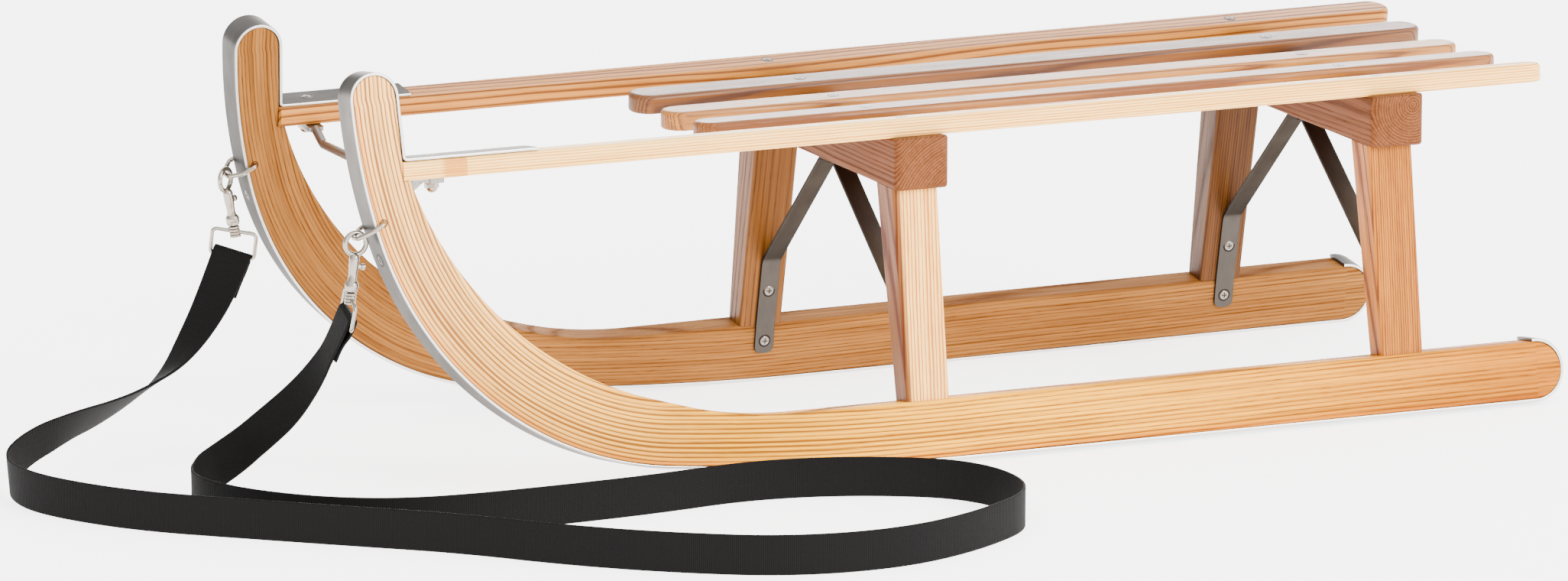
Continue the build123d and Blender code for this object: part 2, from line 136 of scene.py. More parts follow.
# How finely the pieces are meshed, and how far the lines reach that measure them
sharp_angle = 35.0
small_sharp_angle = 30.0
loop_sharp_angle = 40.0
soft_sharp_angle = 60.0
arc_step = 4.0
arc_step_share = 0.09
fewest_arc_steps = 4
straight_step = 30.0
brace_arc_step = 0.4
brace_straight_step = 3.0
tip_steps = 22
slat_end_steps = 14
round_over_steps = 6
crown_steps = 20
leg_steps = 4
spline_steps = 12
longest_section = 60.0
tip_clear = 2.0
tail_overrun = 10.0
seat_step = 0.01

# Small rounding of the edges, which the solids don't have
runner_edges = (1.2, 2.4, 2.4, 1.2)
band_edges = (0.7, 0.7, 0.7, 0.7)
brace_edges = (0.5, 0.5, 0.5, 0.5)
beam_edges = (2.2, 2.2, 2.0, 2.0)
beam_lift_share = 0.6
slat_under_edge = 2.2
slat_under_turns = (30, 60, 90)
beam_corner_turn = 10
brace_end_turn = 15
slat_margin = 0.6
slat_wall_gap = 0.4
largest_round_share = 0.45
support_share = 0.5
wood_support = 0.4
wood_edge_steps = 4
steel_support = 0.3
steel_edge_steps = 3

# Tolerances, and the least that counts as steep, as facing sideways and as a radius
hair = 0.001
parallel = 1e-12
tiny = 1e-6
rounding = 1e-9
steep = 0.9
edge_facing = 0.8
smallest_radius = 0.01

# Route of the strap's middle from the left hook to the right hook
# columns: forward, left, up, and the turn of the width from upright in degrees
left_rise = [(500.7, 123.1, 148.6, 56), (506.7, 118.1, 129.6, 54), (516, 107, 103, 42), (530, 91, 76, 28),
             (547, 76, 55, 21), (563, 61, 36, 18), (584, 52, 20, 10)]
floor_run = [(604, 70), (607, 103), (590, 147), (551, 192), (505, 219), (455, 229), (379, 230), (296, 227),
             (211, 215), (130, 234), (56, 283), (52, 374), (122, 427), (201, 456), (286, 447), (359, 402),
             (422, 347), (477, 283), (542, 229), (605, 175), (663, 124), (700, 69), (717, 22)]
right_rise = [(715, -22, 17, -8), (690, -41, 30, 12), (652, -47, 42, 29), (619, -66, 44, 40),
              (587, -85, 49, 51), (553, -96, 63, 68), (528, -105, 88, 92), (505.2, -115.2, 116.9, 106),
              (488.2, -125.6, 145.2, 116)]
strap_width = 30.0
# columns: across the strap's width and through it
strap_face = [(-15, -0.6), (-14.7, -0.95), (-14, -1), (-7, -1), (0, -1), (7, -1), (14, -1), (14.7, -0.95),
              (15, -0.6)]
strap_profile = strap_face + [(-w, -d) for w, d in strap_face]
rib_pitch = 1.5
twill_pitch = 0.9

# The strap's folded ends; columns of the lap: along the strap and off it
fold_radius = 2.6
fold_turn = 15
fold_lap = [(0.0, 2 * fold_radius), (7.0, 2 * fold_radius), (12.0, 2 * fold_radius - 0.5), (18.0, 2.9),
            (23.0, 2.2), (27.0, 2.05), (33.0, 2.05)]
fold_width_share = 0.985
fold_depth_share = 0.97
# columns: place along the strap and height off it
stitch_rows = [(21.0, 3.35), (30.0, 3.05)]
stitch_ends = (-0.95, -0.6, 0, 0.6, 0.95)
stitch_pitch = 2.5
stitches_each_side = 5
thread_radius = 0.32
thread_round = 8

# Hooks: side, eye, loop's lower bar, direction of the bar, turn of the eye in degrees
hook_places = [("left", (493.1, 126.4, 201.8), (499.7, 123.0, 142.2), (0.163, 0.954, -0.25), 0.0),
               ("right", (493.1, -126.4, 201.8), (487.9, -127.0, 142.0), (0.827, -0.549, 0.122), 38.0)]
eye_radius = 8.3
eye_wire = 3.8
eye_flatness = 0.95
eye_steps = 40
loop_width = 34.0
loop_height = 20.0
loop_corner = 3.5
loop_corner_steps = 5
loop_wire = 3.0
barrel_length = 9.0
barrel_gap = 0.2
collar_length = 8.0
bolt_share = 0.6
bolt_sink = 3.2
gate_sink = 1.2
wire_round = 14
# columns: distance along the axis and radius; the neck starts at the eye's rim and the shank is in shares
neck_rows = [(-1.2, 1.6), (0.0, 3.0), (2.0, 3.75), (3.2, 3.8)]
shank_share_rows = [(0.62, 3.7), (0.78, 3.25), (0.9, 3.1)]
shank_end = (-0.2, 3.6)
collar_rows = [(-0.6, 3.2), (0.2, 4.0), (1.4, 4.9), (2.8, 5.2), (5.0, 5.15), (6.6, 4.7), (7.6, 4.3),
               (8.0, 3.6)]
gate_rows = [(0, 1.7), (0.2, 2.2), (1.9, 2.2), (2.1, 1.7)]
knob_rows = [(0, 1.5), (2.4, 1.5), (2.8, 2.2), (3.4, 2.5), (5.2, 2.5), (5.7, 2.1), (5.8, 1.2)]
ridge_rows = [(0, 3.5), (0.35, 4.15), (1.1, 4.3), (1.75, 4.15)]
barrel_start = (0.0, 2.6)
barrel_end = (8.95, 3.4)
ridge_lead = 0.35
ridge_pitch = 2.25
ridge_count = 4

# Fasteners and holes: heads by radius, rise and reach of the countersink, whose dark ring is painted shade
rod_setback = 27.0
screw_lead = 6.5
horn_screw_rise = 188.0
brace_screw_rises = (75.8, 34.0)
slat_head = (3.7, 0.25, 4.7)
band_head = (3.5, 0.3, 5.4)
brace_head = (3.8, 0.7, 5.0)
# columns: share of the head's radius and of its rise
head_share_rows = [(1.0, -0.3), (1.0, 0.0), (0.97, 0.35), (0.86, 0.7), (0.66, 0.92)]
cross_arm_share = 0.56
cross_half_share = 0.13
cross_flare = 1.06
cross_taper = 0.75
cross_lip = 0.08
cross_depth_share = 0.42
head_round = 48
ring_place = 18.2
ring_rise = 216.2
# Dark ring at each end of a tow ring's hole, painted as the shade inside it; columns: height and radius
hole_shade_rows = [(-0.1, 2.2), (0.05, 2.35), (0.05, 3.0), (-0.1, 3.1)]
nut_drop = 3.5
nut_inset = 1.0
washer_rows = [(-0.2, 5.2), (0.0, 5.4), (0.9, 5.4), (1.1, 5.2)]
nut_rows = [(1.1, 5.6), (3.9, 5.6), (4.1, 5.0)]
dome_start = 4.0
dome_rise = 3.6
dome_radius = 4.3
dome_turn = 15
# columns: height, share of the way from the head's edge to the rim, and what is added to the radius
sink_rows = [(-0.1, 0, -0.2), (0.02, 0, 0), (0.10, 0.5, 0), (0.06, 1, 0), (-0.1, 1, 0.05)]
turned_round = 28
sink_round = 40
rim_round = 32
knob_round = 20
nut_sides = 6

# The timber's figure; columns: scale of the noise along, across and through it per metre, detail, roughness
wood_noise = {"slow": ((2.2, 9.0, 9.0), 1.0, 0.5), "quick": ((11.0, 50.0, 50.0), 2.0, 0.5),
              "pores": ((80.0, 2300.0, 2300.0), 2.0, 0.6), "fibre": ((16.0, 900.0, 900.0), 3.0, 0.65),
              "streak": ((5.0, 260.0, 260.0), 2.0, 0.6), "strength": ((4.0, 60.0, 60.0), 2.0, 0.5),
              "tone": ((1.6, 20.0, 20.0), 2.0, 0.5)}
uneven_noise = ((150.0, 1.0, 1.0), 3.0, 0.7)
weight_noise = ((330.0, 1.0, 1.0), 1.0, 0.5)
heart_line = 22.0
pith_tilt = 0.01
quick_wander = 1.2
uneven_rings = 1.5
pore_edge = 0.54
pore_contrast = 6.0
pores_in_ring = 0.85
pores_elsewhere = 0.1
pore_darkness = 0.55
least_strength = 0.35
ring_middle = 0.32
fibre_share = 1.1
streak_share = 0.9
pore_roughness = 0.3
fibre_roughness = 0.5
ring_roughness = 0.12
ring_relief = 0.3
fibre_relief = 0.9
wood_bump = (0.45, 0.25)
# How dark the timber is where a ring starts and ends, and at each share of the ring's width
ring_ends = 0.75
ring_profile = [(0.05, 1.0), (0.14, 0.8), (0.27, 0.3), (0.48, 0.08), (0.8, 0.0), (0.94, 0.35)]

# Where each piece starts along the timber, in millimetres, so that no two have the same figure
runner_starts = {"left": 0, "right": 2000}
outer_slat_starts = {"left": 0, "right": 3000}
inner_slat_starts = {"left": 5000, "right": 8000, "middle": 11000}
beam_starts = {"front": 0, "rear": 1000}
leg_starts = {"front": 0, "rear": 700}

# Light and dark colours of the timber, from the palest to the darkest piece; honey, amber and brown, on the
# right runner and legs, are darker partly as painted shade over the timber's own tone
pale = ((0.98, 0.54, 0.14), (0.50, 0.15, 0.012))
blond = ((1.0, 0.58, 0.16), (0.60, 0.22, 0.02))
cream = ((0.95, 0.50, 0.14), (0.24, 0.090, 0.024))
honey = ((0.30, 0.128, 0.030), (0.085, 0.024, 0.003))
gold = ((0.46, 0.18, 0.028), (0.14, 0.037, 0.002))
tan = ((0.46, 0.15, 0.008), (0.14, 0.031, 0.001))
amber = ((0.20, 0.074, 0.012), (0.06, 0.017, 0.001))
russet = ((0.18, 0.058, 0.008), (0.055, 0.014, 0.001))
brown = ((0.12, 0.043, 0.006), (0.034, 0.0085, 0.001))
umber = ((0.180, 0.064, 0.025), (0.075, 0.024, 0.007))

# Steel and webbing; a bump's values are its strength and its distance in millimetres
line_noise = ((6.0, 1600.0, 1600.0), 3.0, 0.6)
cloud_noise = ((30.0, 60.0, 60.0), 3.0, 0.6)
skin_noise = ((420.0, 420.0, 420.0), 3.0, 0.6)
fuzz_noise = ((900.0, 2500.0, 2500.0), 2.0, 0.6)
line_share = 0.5
cloud_share = 0.9
dark_share = 0.62
light_share = 1.3
line_roughness = 0.2
edge_tint = (0.28, 0.28, 0.28)
steel_bump = (0.12, 0.1)
skin_roughness = 0.14
skin_smoothing = 0.05
skin_bump = (0.15, 0.15)
twill_share = 0.35
fuzz_share = 0.8
rib_shade = 0.22
webbing_shade = 0.4
webbing_dark = (0.0012, 0.0011, 0.0011)
webbing_light = (0.0065, 0.0058, 0.0055)
webbing_roughness = 0.7
webbing_shine = 0.06
webbing_bump = (0.5, 0.25)


def dsin(degrees):
    return math.sin(math.radians(degrees))


def dcos(degrees):
    return math.cos(math.radians(degrees))


def dtan(degrees):
    return math.tan(math.radians(degrees))


def leaning(v, w):
    """Y and Z of a place in the side frame, before the toe turns it."""
    lift = runner_width / 2 * dsin(lean)
    return -v * dsin(lean) + w * dcos(lean), v * dcos(lean) + w * dsin(lean) + lift


def side_place(u, y, z, side):
    """A place of a side piece in the part's frame, in metres."""
    x = u * dcos(toe) + y * dsin(toe) + forward_shift
    y = y * dcos(toe) - u * dsin(toe) + half_track
    return Vector((x, y if side == "left" else -y, z)) * mm


def side_point(u, v, w, side):
    """The same for a place in u, v and w."""
    return side_place(u, *leaning(v, w), side)


def mirrored_place(p):
    """The same place or direction on the other side of the sled."""
    return Vector((p.x, -p.y, p.z))


def grain_place(along, across, through):
    """A place in the timber, from millimetres to metres."""
    return along * mm, across * mm, through * mm


def add_piece(name, verts, faces, material, angle=sharp_angle, grain=()):
    """A mesh piece that rides on the sled; grain has the place of each of its points in the timber."""
    mesh = bpy.data.meshes.new(name)
    mesh.from_pydata([tuple(v) for v in verts], [], faces)
    mesh.materials.append(material)
    mesh.validate()
    mesh.update()
    obj = bpy.data.objects.new(name, mesh)
    bpy.context.scene.collection.objects.link(obj)
    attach(obj, "root")
    if grain:
        layer = mesh.attributes.new("grain", "FLOAT_VECTOR", "POINT")
        for item, value in zip(layer.data, grain):
            item.vector = value
    bm = bmesh.new()
    bm.from_mesh(mesh)
    bmesh.ops.recalc_face_normals(bm, faces=bm.faces)
    bm.to_mesh(mesh)
    bm.free()
    mesh.shade_smooth()
    mesh.set_sharp_from_angle(angle=math.radians(angle))
    return obj


def ring_faces(count, size, looped=False, caps=2):
    """Quads between rings of the same size; looped joins the last to the first, and caps close the ends."""
    faces = []
    for i in range(count if looped else count - 1):
        j = (i + 1) % count
        for k in range(size):
            m = (k + 1) % size
            faces.append((i * size + k, i * size + m, j * size + m, j * size + k))
    if caps == 2:
        faces.append(tuple(reversed(range(size))))
    if caps:
        faces.append(tuple(range((count - 1) * size, count * size)))
    return faces


def ring_piece(name, rings, grain, material, angle=sharp_angle):
    """A piece made of rings of points, closed at both ends."""
    verts = [p for ring in rings for p in ring]
    return add_piece(name, verts, ring_faces(len(rings), len(rings[0])), material, angle, grain)


def hit(origin, direction, line):
    """First place along a ray where it meets a line of points, or None."""
    best = None
    for (ax, ay), (bx, by) in zip(line, line[1:]):
        ex, ey = bx - ax, by - ay
        cross = direction[0] * ey - direction[1] * ex
        if abs(cross) < parallel:
            continue
        t = ((ax - origin[0]) * ey - (ay - origin[1]) * ex) / cross
        s = ((ax - origin[0]) * direction[1] - (ay - origin[1]) * direction[0]) / cross
        if t > tiny and -rounding <= s <= 1 + rounding and (best is None or t < best):
            best = t
    return best


class Nodes:
    """Adds shader nodes to a material or a world, in front of the shader that has the name given."""

    def __init__(self, owner, shader="Principled BSDF"):
        owner.use_nodes = True
        self.owner = owner
        self.tree = owner.node_tree
        self.shader = self.tree.nodes[shader]

    def feed(self, socket, value):
        """Links a socket to another node's output, or sets its number, vector or colour."""
        if isinstance(value, bpy.types.NodeSocket):
            self.tree.links.new(value, socket)
        else:
            socket.default_value = (*value, 1.0) if socket.type == "RGBA" else value

    def node(self, kind, inputs=(), **settings):
        """A new node with its settings and inputs."""
        made = self.tree.nodes.new(kind)
        for key, value in settings.items():
            setattr(made, key, value)
        for key, value in dict(inputs).items():
            self.feed(made.inputs[key], value)
        return made

    def math(self, operation, a, b=0.0, clamp=False):
        """The result of one sum; clamp keeps it from 0 to 1."""
        return self.node("ShaderNodeMath", {0: a, 1: b}, operation=operation, use_clamp=clamp).outputs[0]

    def add(self, total, *more, clamp=False):
        """Several values added up; clamp keeps the total from 0 to 1."""
        for i, value in enumerate(more, 1):
            total = self.math("ADD", total, value, clamp and i == len(more))
        return total

    def times(self, a, b, clamp=False):
        """One value times another."""
        return self.math("MULTIPLY", a, b, clamp)

    def sway(self, value, share):
        """What a noise adds: half a share more or less."""
        return self.times(self.math("SUBTRACT", value, 0.5), share)

    def ramp(self, value, start, width):
        """From 0 at a start to 1 a width further, both in millimetres."""
        return self.times(self.math("SUBTRACT", value, start * mm), 1 / (width * mm), True)

    def noise(self, vector, scale, detail, rough):
        """Noise over a vector that is scaled in each direction."""
        scaled = self.node("ShaderNodeVectorMath", {0: vector, 1: scale}, operation="MULTIPLY").outputs[0]
        return self.node("ShaderNodeTexNoise", {"Vector": scaled, "Scale": 1.0, "Detail": detail,
                                                "Roughness": rough}).outputs["Fac"]

    def grain(self):
        """The place in the timber or along the webbing, as a vector and as its parts."""
        vector = self.node("ShaderNodeAttribute", attribute_name="grain").outputs["Vector"]
        return vector, *self.node("ShaderNodeSeparateXYZ", {0: vector}).outputs

    def mix(self, amount, first, second, blend="MIX"):
        """Two colours mixed."""
        inputs = {"Factor": amount, 6: first, 7: second}
        return self.node("ShaderNodeMix", inputs, data_type="RGBA", blend_type=blend).outputs[2]

    def set(self, **sockets):
        """Sets or links the shader's sockets by name."""
        for key, value in sockets.items():
            self.feed(self.shader.inputs[key.replace("_", " ")], value)

    def bump(self, height, strength, distance):
        """Relief from a height."""
        inputs = {"Height": height, "Strength": strength, "Distance": distance * mm}
        self.set(Normal=self.node("ShaderNodeBump", inputs).outputs[0])


def make_camera():
    """The camera of the photograph."""
    turn = (Matrix.Rotation(math.radians(180 - camera_yaw), 4, "Z")
            @ Matrix.Rotation(math.radians(90 + camera_pitch), 4, "X")
            @ Matrix.Rotation(math.radians(camera_roll), 4, "Z"))
    data = bpy.data.cameras.new("photo_view")
    data.lens = focal_length
    data.sensor_width = sensor_width
    data.clip_end = view_reach
    camera = bpy.data.objects.new("photo_view", data)
    camera.matrix_world = Matrix.Translation(camera_place) @ turn
    bpy.context.scene.collection.objects.link(camera)
    bpy.context.scene.camera = camera


def make_sky():
    """A pale sky, brighter on one side and with a bright field behind the sled."""
    world = bpy.data.worlds.new("studio")
    n = Nodes(world, "Background")
    toward = n.node("ShaderNodeTexCoord").outputs["Generated"]

    def toned(direction, low, at_low, at_high):
        facing = n.node("ShaderNodeVectorMath", {0: toward, 1: Vector(direction).normalized()},
                        operation="DOT_PRODUCT").outputs["Value"]
        inputs = {"Value": facing, "From Min": low, "From Max": 1.0, "To Min": at_low, "To Max": at_high}
        return n.node("ShaderNodeMapRange", inputs, interpolation_type="SMOOTHSTEP").outputs["Result"]

    n.set(Color=white, Strength=n.add(toned(bright_side, -1.0, *sky_range),
                                      toned(glare_side, glare_edge, 0.0, glare)))
    bpy.context.scene.world = world


def make_floor():
    """A wide floor of pale paper."""
    mesh = bpy.data.meshes.new("floor")
    r = floor_reach
    mesh.from_pydata([(-r, -r, 0), (r, -r, 0), (r, r, 0), (-r, r, 0)], [], [(0, 1, 2, 3)])
    paper = Nodes(bpy.data.materials.new("paper"))
    paper.set(Base_Color=floor_white, Roughness=floor_roughness, Emission_Color=white,
              Emission_Strength=floor_glow)
    mesh.materials.append(paper.owner)
    floor = bpy.data.objects.new("floor", mesh)
    bpy.context.scene.collection.objects.link(floor)


def make_lamp():
    """One large soft light on the photo's side."""
    data = bpy.data.lights.new("key", "AREA")
    data.shape = "DISK"
    data.size = key_size
    data.energy = key_power
    lamp = bpy.data.objects.new("key", data)
    lamp.location = key_place
    lamp.rotation_euler = (Vector(key_target) - Vector(key_place)).to_track_quat("-Z", "Y").to_euler()
    bpy.context.scene.collection.objects.link(lamp)


def spline_points(name, rows):
    """Points along the NURBS spline that has the rows as its control points."""
    curve = bpy.data.curves.new(name, "CURVE")
    curve.dimensions = "3D"
    curve.resolution_u = spline_steps
    spline = curve.splines.new("NURBS")
    spline.points.add(len(rows) - 1)
    for point, row in zip(spline.points, rows):
        point.co = (*row, 1.0)
    spline.order_u = 3
    spline.use_endpoint_u = True
    line = bpy.data.objects.new(name, curve)
    mesh = bpy.data.meshes.new_from_object(line)
    points = [v.co.copy() for v in mesh.vertices]
    bpy.data.meshes.remove(mesh)
    bpy.data.objects.remove(line)
    bpy.data.curves.remove(curve)
    return points


def strap_frame(heading, turn):
    """Width and thickness directions of the strap at a heading, its width turned from upright."""
    heading = heading.normalized()
    level = heading.cross(Vector((0, 0, 1))).normalized()
    upright = level.cross(heading)
    width = upright * math.cos(turn) + level * math.sin(turn)
    return width, heading.cross(width)


def make_strap(material):
    """The webbing from hook to hook, and its two hooks."""
    rows = left_rise + [(x, y, strap_width / 2, 0) for x, y in floor_run] + right_rise
    line = spline_points("strap_line", [(x * mm, y * mm, z * mm) for x, y, z, t in rows])
    turns = [p.x for p in spline_points("strap_turn", [(math.radians(t), 0, 0) for x, y, z, t in rows])]
    lengths = run_lengths(line)
    verts = []
    for i, (point, turn) in enumerate(zip(line, turns)):
        heading = line[min(i + 1, len(line) - 1)] - line[max(i - 1, 0)]
        width, depth = strap_frame(heading, turn)
        verts += [point + width * (w * mm) + depth * (d * mm) for w, d in strap_profile]
    grain = [(s, w * mm, d * mm) for s in lengths for w, d in strap_profile]
    faces = ring_faces(len(line), len(strap_profile))
    strap = add_piece("tow_webbing", verts, faces, material, soft_sharp_angle, grain)
    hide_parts("tow_strap", "tow_strap_left_rise", "tow_strap_right_rise")
    hooks = []
    ends = ((0, 1, turns[0]), (-1, -2, -turns[-1]))
    for place, (first, second, turn) in zip(hook_places, ends):
        hooks += make_hook(*place, nickel)
        hooks += make_fold(place[0], line[first], line[second], turn, Vector(place[2]), material)
    tuple(line[0])
    [tuple(p) for p in line]


def arc_points(before, corner, after, radius, count):
    """Points along the arc that rounds a corner, from one tangent point to the other."""
    corner = Vector(corner[:2])
    back = (Vector(before[:2]) - corner).normalized()
    on = (Vector(after[:2]) - corner).normalized()
    half = back.angle(on) / 2
    centre = corner + (back + on).normalized() * (radius / math.sin(half))
    start = corner + back * (radius / math.tan(half)) - centre
    turn = math.pi - 2 * half
    if on.x * back.y - on.y * back.x < 0:
        turn = -turn
    steps = [turn * i / count for i in range(count + 1)]
    return [(centre.x + start.x * math.cos(a) - start.y * math.sin(a),
             centre.y + start.x * math.sin(a) + start.y * math.cos(a)) for a in steps]


def filled(a, b, straight):
    """Points between two others, not further apart than straight."""
    count = max(1, math.ceil(math.dist(a, b) / straight))
    return [(a[0] + (b[0] - a[0]) * i / count, a[1] + (b[1] - a[1]) * i / count) for i in range(1, count)]


def rounded(corners, step=arc_step, straight=straight_step):
    """Points along a path of corners x, y, radius: arcs at the corners and points along the straights."""
    points = [tuple(corners[0][:2])]
    for before, corner, after in zip(corners, corners[1:], corners[2:]):
        if corner[2] > 0:
            back, on = (Vector(p[:2]) - Vector(corner[:2]) for p in (before, after))
            turn = abs(math.pi - back.angle(on))
            longest = min(step, corner[2] * arc_step_share)
            count = max(fewest_arc_steps, math.ceil(turn * corner[2] / longest))
            piece = arc_points(before, corner, after, corner[2], count)
        else:
            piece = [tuple(corner[:2])]
        points += filled(points[-1], piece[0], straight) + piece
    end = tuple(corners[-1][:2])
    return points + filled(points[-1], end, straight) + [end]


def off(point, direction, distance):
    """A place at a distance from a point in a direction."""
    return point[0] + direction[0] * distance, point[1] + direction[1] * distance


def run_lengths(points):
    """Length along a line up to each of its points."""
    lengths = [0.0]
    for a, b in zip(points, points[1:]):
        lengths.append(lengths[-1] + math.dist(a, b))
    return lengths


def corner_cut(radius, distance):
    """How far a rounded corner stands in from the side, at a distance from the end."""
    if distance >= radius:
        return 0.0
    return radius - math.sqrt(max(0.0, radius ** 2 - (radius - distance) ** 2))


def normals(points, side):
    """Unit normals of a line of points, on its left for side 1 and on its right for side -1."""
    found = []
    for i in range(len(points)):
        a, b = points[max(i - 1, 0)], points[min(i + 1, len(points) - 1)]
        run = math.dist(a, b)
        found.append((-(b[1] - a[1]) / run * side, (b[0] - a[0]) / run * side))
    return found


def box_ring(low, high, left, right, radii, support=wood_support, steps=wood_edge_steps):
    """Points round a rectangle with rounded corners, in order from low left."""
    reach = min(high - low, right - left) * largest_round_share
    corners = [(left, low, 1, 1, 180), (right, low, -1, 1, 270), (right, high, -1, -1, 0),
               (left, high, 1, -1, 90)]
    ring = []
    for (x, y, sx, sy, start), radius in zip(corners, radii):
        r = min(radius, reach)
        extra = min(support, (reach - r) * support_share + hair)
        cx, cy = x + sx * r, y + sy * r
        a, b = math.radians(start), math.radians(start + 90)
        ring.append((cx + r * math.cos(a) + extra * math.sin(a), cy + r * math.sin(a) - extra * math.cos(a)))
        for i in range(steps + 1):
            c = math.radians(start + 90 * i / steps)
            ring.append((cx + r * math.cos(c), cy + r * math.sin(c)))
        ring.append((cx + r * math.cos(b) - extra * math.sin(b), cy + r * math.sin(b) + extra * math.cos(b)))
    return ring


def runner_stations():
    """Pairs of places on the lower and upper edges, from the rear end to the horn's tip."""
    low = [(-tail_end + tail_radius, band_thickness, 0), *lower_bends, (horn_lead, horn_height, 0)]
    back = [(0, seat_height), (0, slat_top), (horn_back, horn_height)]
    tip_low = arc_points(low[-2], low[-1], (0, horn_height), tip_radius, tip_steps)
    tip_high = arc_points(back[-2], back[-1], (horn_lead, horn_height), tip_radius, tip_steps)
    lower = [p for p in rounded(low) if p[1] < tip_low[0][1] - tip_clear or p[0] < 0]
    upper = rounded([(-tail_end - tail_overrun, runner_top, 0), *reversed(upper_bends), (*shoulder, 0)])
    stations = []
    stepped = False
    for point, normal in zip(lower, normals(lower, 1)):
        t = hit(point, normal, upper)
        if t and t < longest_section and not stepped:
            stations.append((point, off(point, normal, t)))
            continue
        t = hit(point, normal, back)
        if point[1] < seat_height / 2 or not t or t > longest_section:
            continue
        if not stepped:
            step = [(a + b) / 2 for a, b in zip(stations[-1][0], point)]
            stations += [(step, shoulder), (step, back[0])]
            stepped = True
        stations.append((point, off(point, normal, t)))
    ends = [(0, band_thickness), (-tail_end, band_thickness), (-tail_end, runner_top), (0, runner_top)]
    tail_low = arc_points(*ends[:3], tail_radius, tip_steps)
    tail_high = arc_points(*ends[:0:-1], tail_radius, tip_steps)
    return list(zip(tail_low, tail_high))[:0:-1], stations, list(zip(tip_low, tip_high))


def make_runner(side, material, start):
    """The bent runner, with the grain along its bend."""
    tail, middle, tip = runner_stations()
    rings, grain = [], []
    along = 0.0
    before = None
    for kind, rows in (("tail", tail), ("middle", middle), ("tip", tip)):
        for low, high in rows:
            depth = math.dist(low, high)
            if before and kind != "tip":
                along += math.dist(before, low)
            before = low
            upwards = ((high[0] - low[0]) / depth, (high[1] - low[1]) / depth)
            ring = []
            for p, w in box_ring(-runner_width / 2, runner_width / 2, 0, depth, runner_edges):
                u, v = off(low, upwards, p)
                ring.append(side_point(u, v, w, side))
                if kind == "tail":
                    s, t = u - tail[-1][0][0], v - band_thickness - heart_line
                elif kind == "tip":
                    s, t = along + v - tip[0][0][1], horn_lead - u - heart_line
                else:
                    s, t = along, p - heart_line
                grain.append(grain_place(s + start, t, w))
            rings.append(ring)
    obj = ring_piece(f"bent_runner_{side}", rings, grain, material)
    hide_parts(f"runner_{side}")


def band_path():
    """The band's inner line round the runner, from the top of the rear end to the slat."""
    return rounded([(tail_radius + band_lap - tail_end, runner_top, 0), (-tail_end, runner_top, tail_radius),
                    (-tail_end, band_thickness, tail_radius), *lower_bends,
                    (horn_lead, horn_height, tip_radius), (horn_back, horn_height, tip_radius),
                    (0, slat_top, band_bend_radius), (-band_on_slat, slat_top, 0)])


def band_front(rise):
    """A place at a height on the outer face of the band's front, and its outward direction."""
    line = band_path()
    line = [off(p, n, band_thickness) for p, n in zip(line, normals(line, -1))]
    for a, b in zip(line, line[1:]):
        if a[1] <= rise < b[1]:
            t = (rise - a[1]) / (b[1] - a[1])
            length = math.dist(a, b)
            return (a[0] + (b[0] - a[0]) * t, rise), ((b[1] - a[1]) / length, (a[0] - b[0]) / length)


def flat_ring(half, thickness, radii):
    """Points round a flat bar's section: place across it and place through it."""
    return box_ring(0, thickness, -half, half, radii, steel_support, steel_edge_steps)


def make_band(side, material):
    """The flat steel round the runner and on to the slat; its narrow edges have a paler steel as a painted
    highlight.
    """
    path = band_path()
    section = flat_ring(runner_width / 2, band_thickness, band_edges)
    rings = [[side_point(*off(point, normal, d), w, side) for w, d in section]
             for point, normal in zip(path, normals(path, -1))]
    grain = [grain_place(s, w, d) for s in run_lengths(path) for w, d in section]
    obj = ring_piece(f"runner_shoe_{side}", rings, grain, material)
    obj.data.materials.append(band_edge_highlight)
    across = (side_point(0, 0, 1, side) - side_point(0, 0, 0, side)).normalized()
    for polygon in obj.data.polygons:
        if abs(polygon.normal.dot(across)) > edge_facing:
            polygon.material_index = 1
    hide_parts(f"runner_band_{side}")


def slat_outline(front, rear, half, inset, square_front):
    """Points round a slat seen from above, moved inwards by inset."""
    r = half - inset
    turns = [math.pi / 2 - math.pi * i / slat_end_steps for i in range(slat_end_steps + 1)]
    if square_front:
        points = [(front, r), (front, -r)]
    else:
        points = [(front - half + r * math.cos(a), r * math.sin(a)) for a in turns]
    return points + [(rear + half - r * math.cos(a), -r * math.sin(a)) for a in turns]


def slat_levels():
    """Inset and height of each ring round a slat, from its underside to its top."""
    under, top = slat_under_edge, slat_round_over
    turns = [90 * i / round_over_steps for i in range(round_over_steps + 1)]
    return ([(under + slat_margin, 0.0), (under, 0.0)]
            + [(under * (1 - dsin(a)), under * (1 - dcos(a))) for a in slat_under_turns]
            + [(0.0, slat_thickness - top - slat_wall_gap)]
            + [(top * (1 - dcos(a)), slat_thickness - top * (1 - dsin(a))) for a in turns]
            + [(top + slat_margin, slat_thickness)])


def outer_place(side):
    """Turns a place on an outer slat, in millimetres, into a place in the frame."""
    def place(x, y, z):
        return side_point(x, seat_height + z, y + outer_slat_middle, side)
    return place


def inner_place(side):
    """The same for an inner slat, which fans out and leans."""
    matrix = (Matrix.Translation((forward_shift, inner_slat_offset - inner_reach * dtan(inner_slat_fan),
                                  seat_level - inner_slat_drop))
              @ Matrix.Rotation(math.radians(inner_slat_lean), 4, "X")
              @ Matrix.Rotation(math.radians(-inner_slat_fan), 4, "Z"))

    def place(x, y, z):
        p = (matrix @ Vector((x, y, z))) * mm
        return p if side == "left" else mirrored_place(p)
    return place


def middle_place(x, y, z):
    """The same for the middle slat."""
    return Vector((x + forward_shift, y, z + seat_level - middle_slat_drop)) * mm


def make_slat(name, node, shape, place, material, start):
    """A slat with a rounded-over top; place turns its own x, y, z in millimetres into the frame."""
    front, length, width, square_front = shape
    rings, grain = [], []
    for inset, z in slat_levels():
        outline = slat_outline(front, front - length, width / 2, inset, square_front)
        rings.append([place(x, y, z) for x, y in outline])
        grain += [grain_place(x + start, y, z) for x, y in outline]
    obj = ring_piece(name, rings, grain, material)
    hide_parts(node)


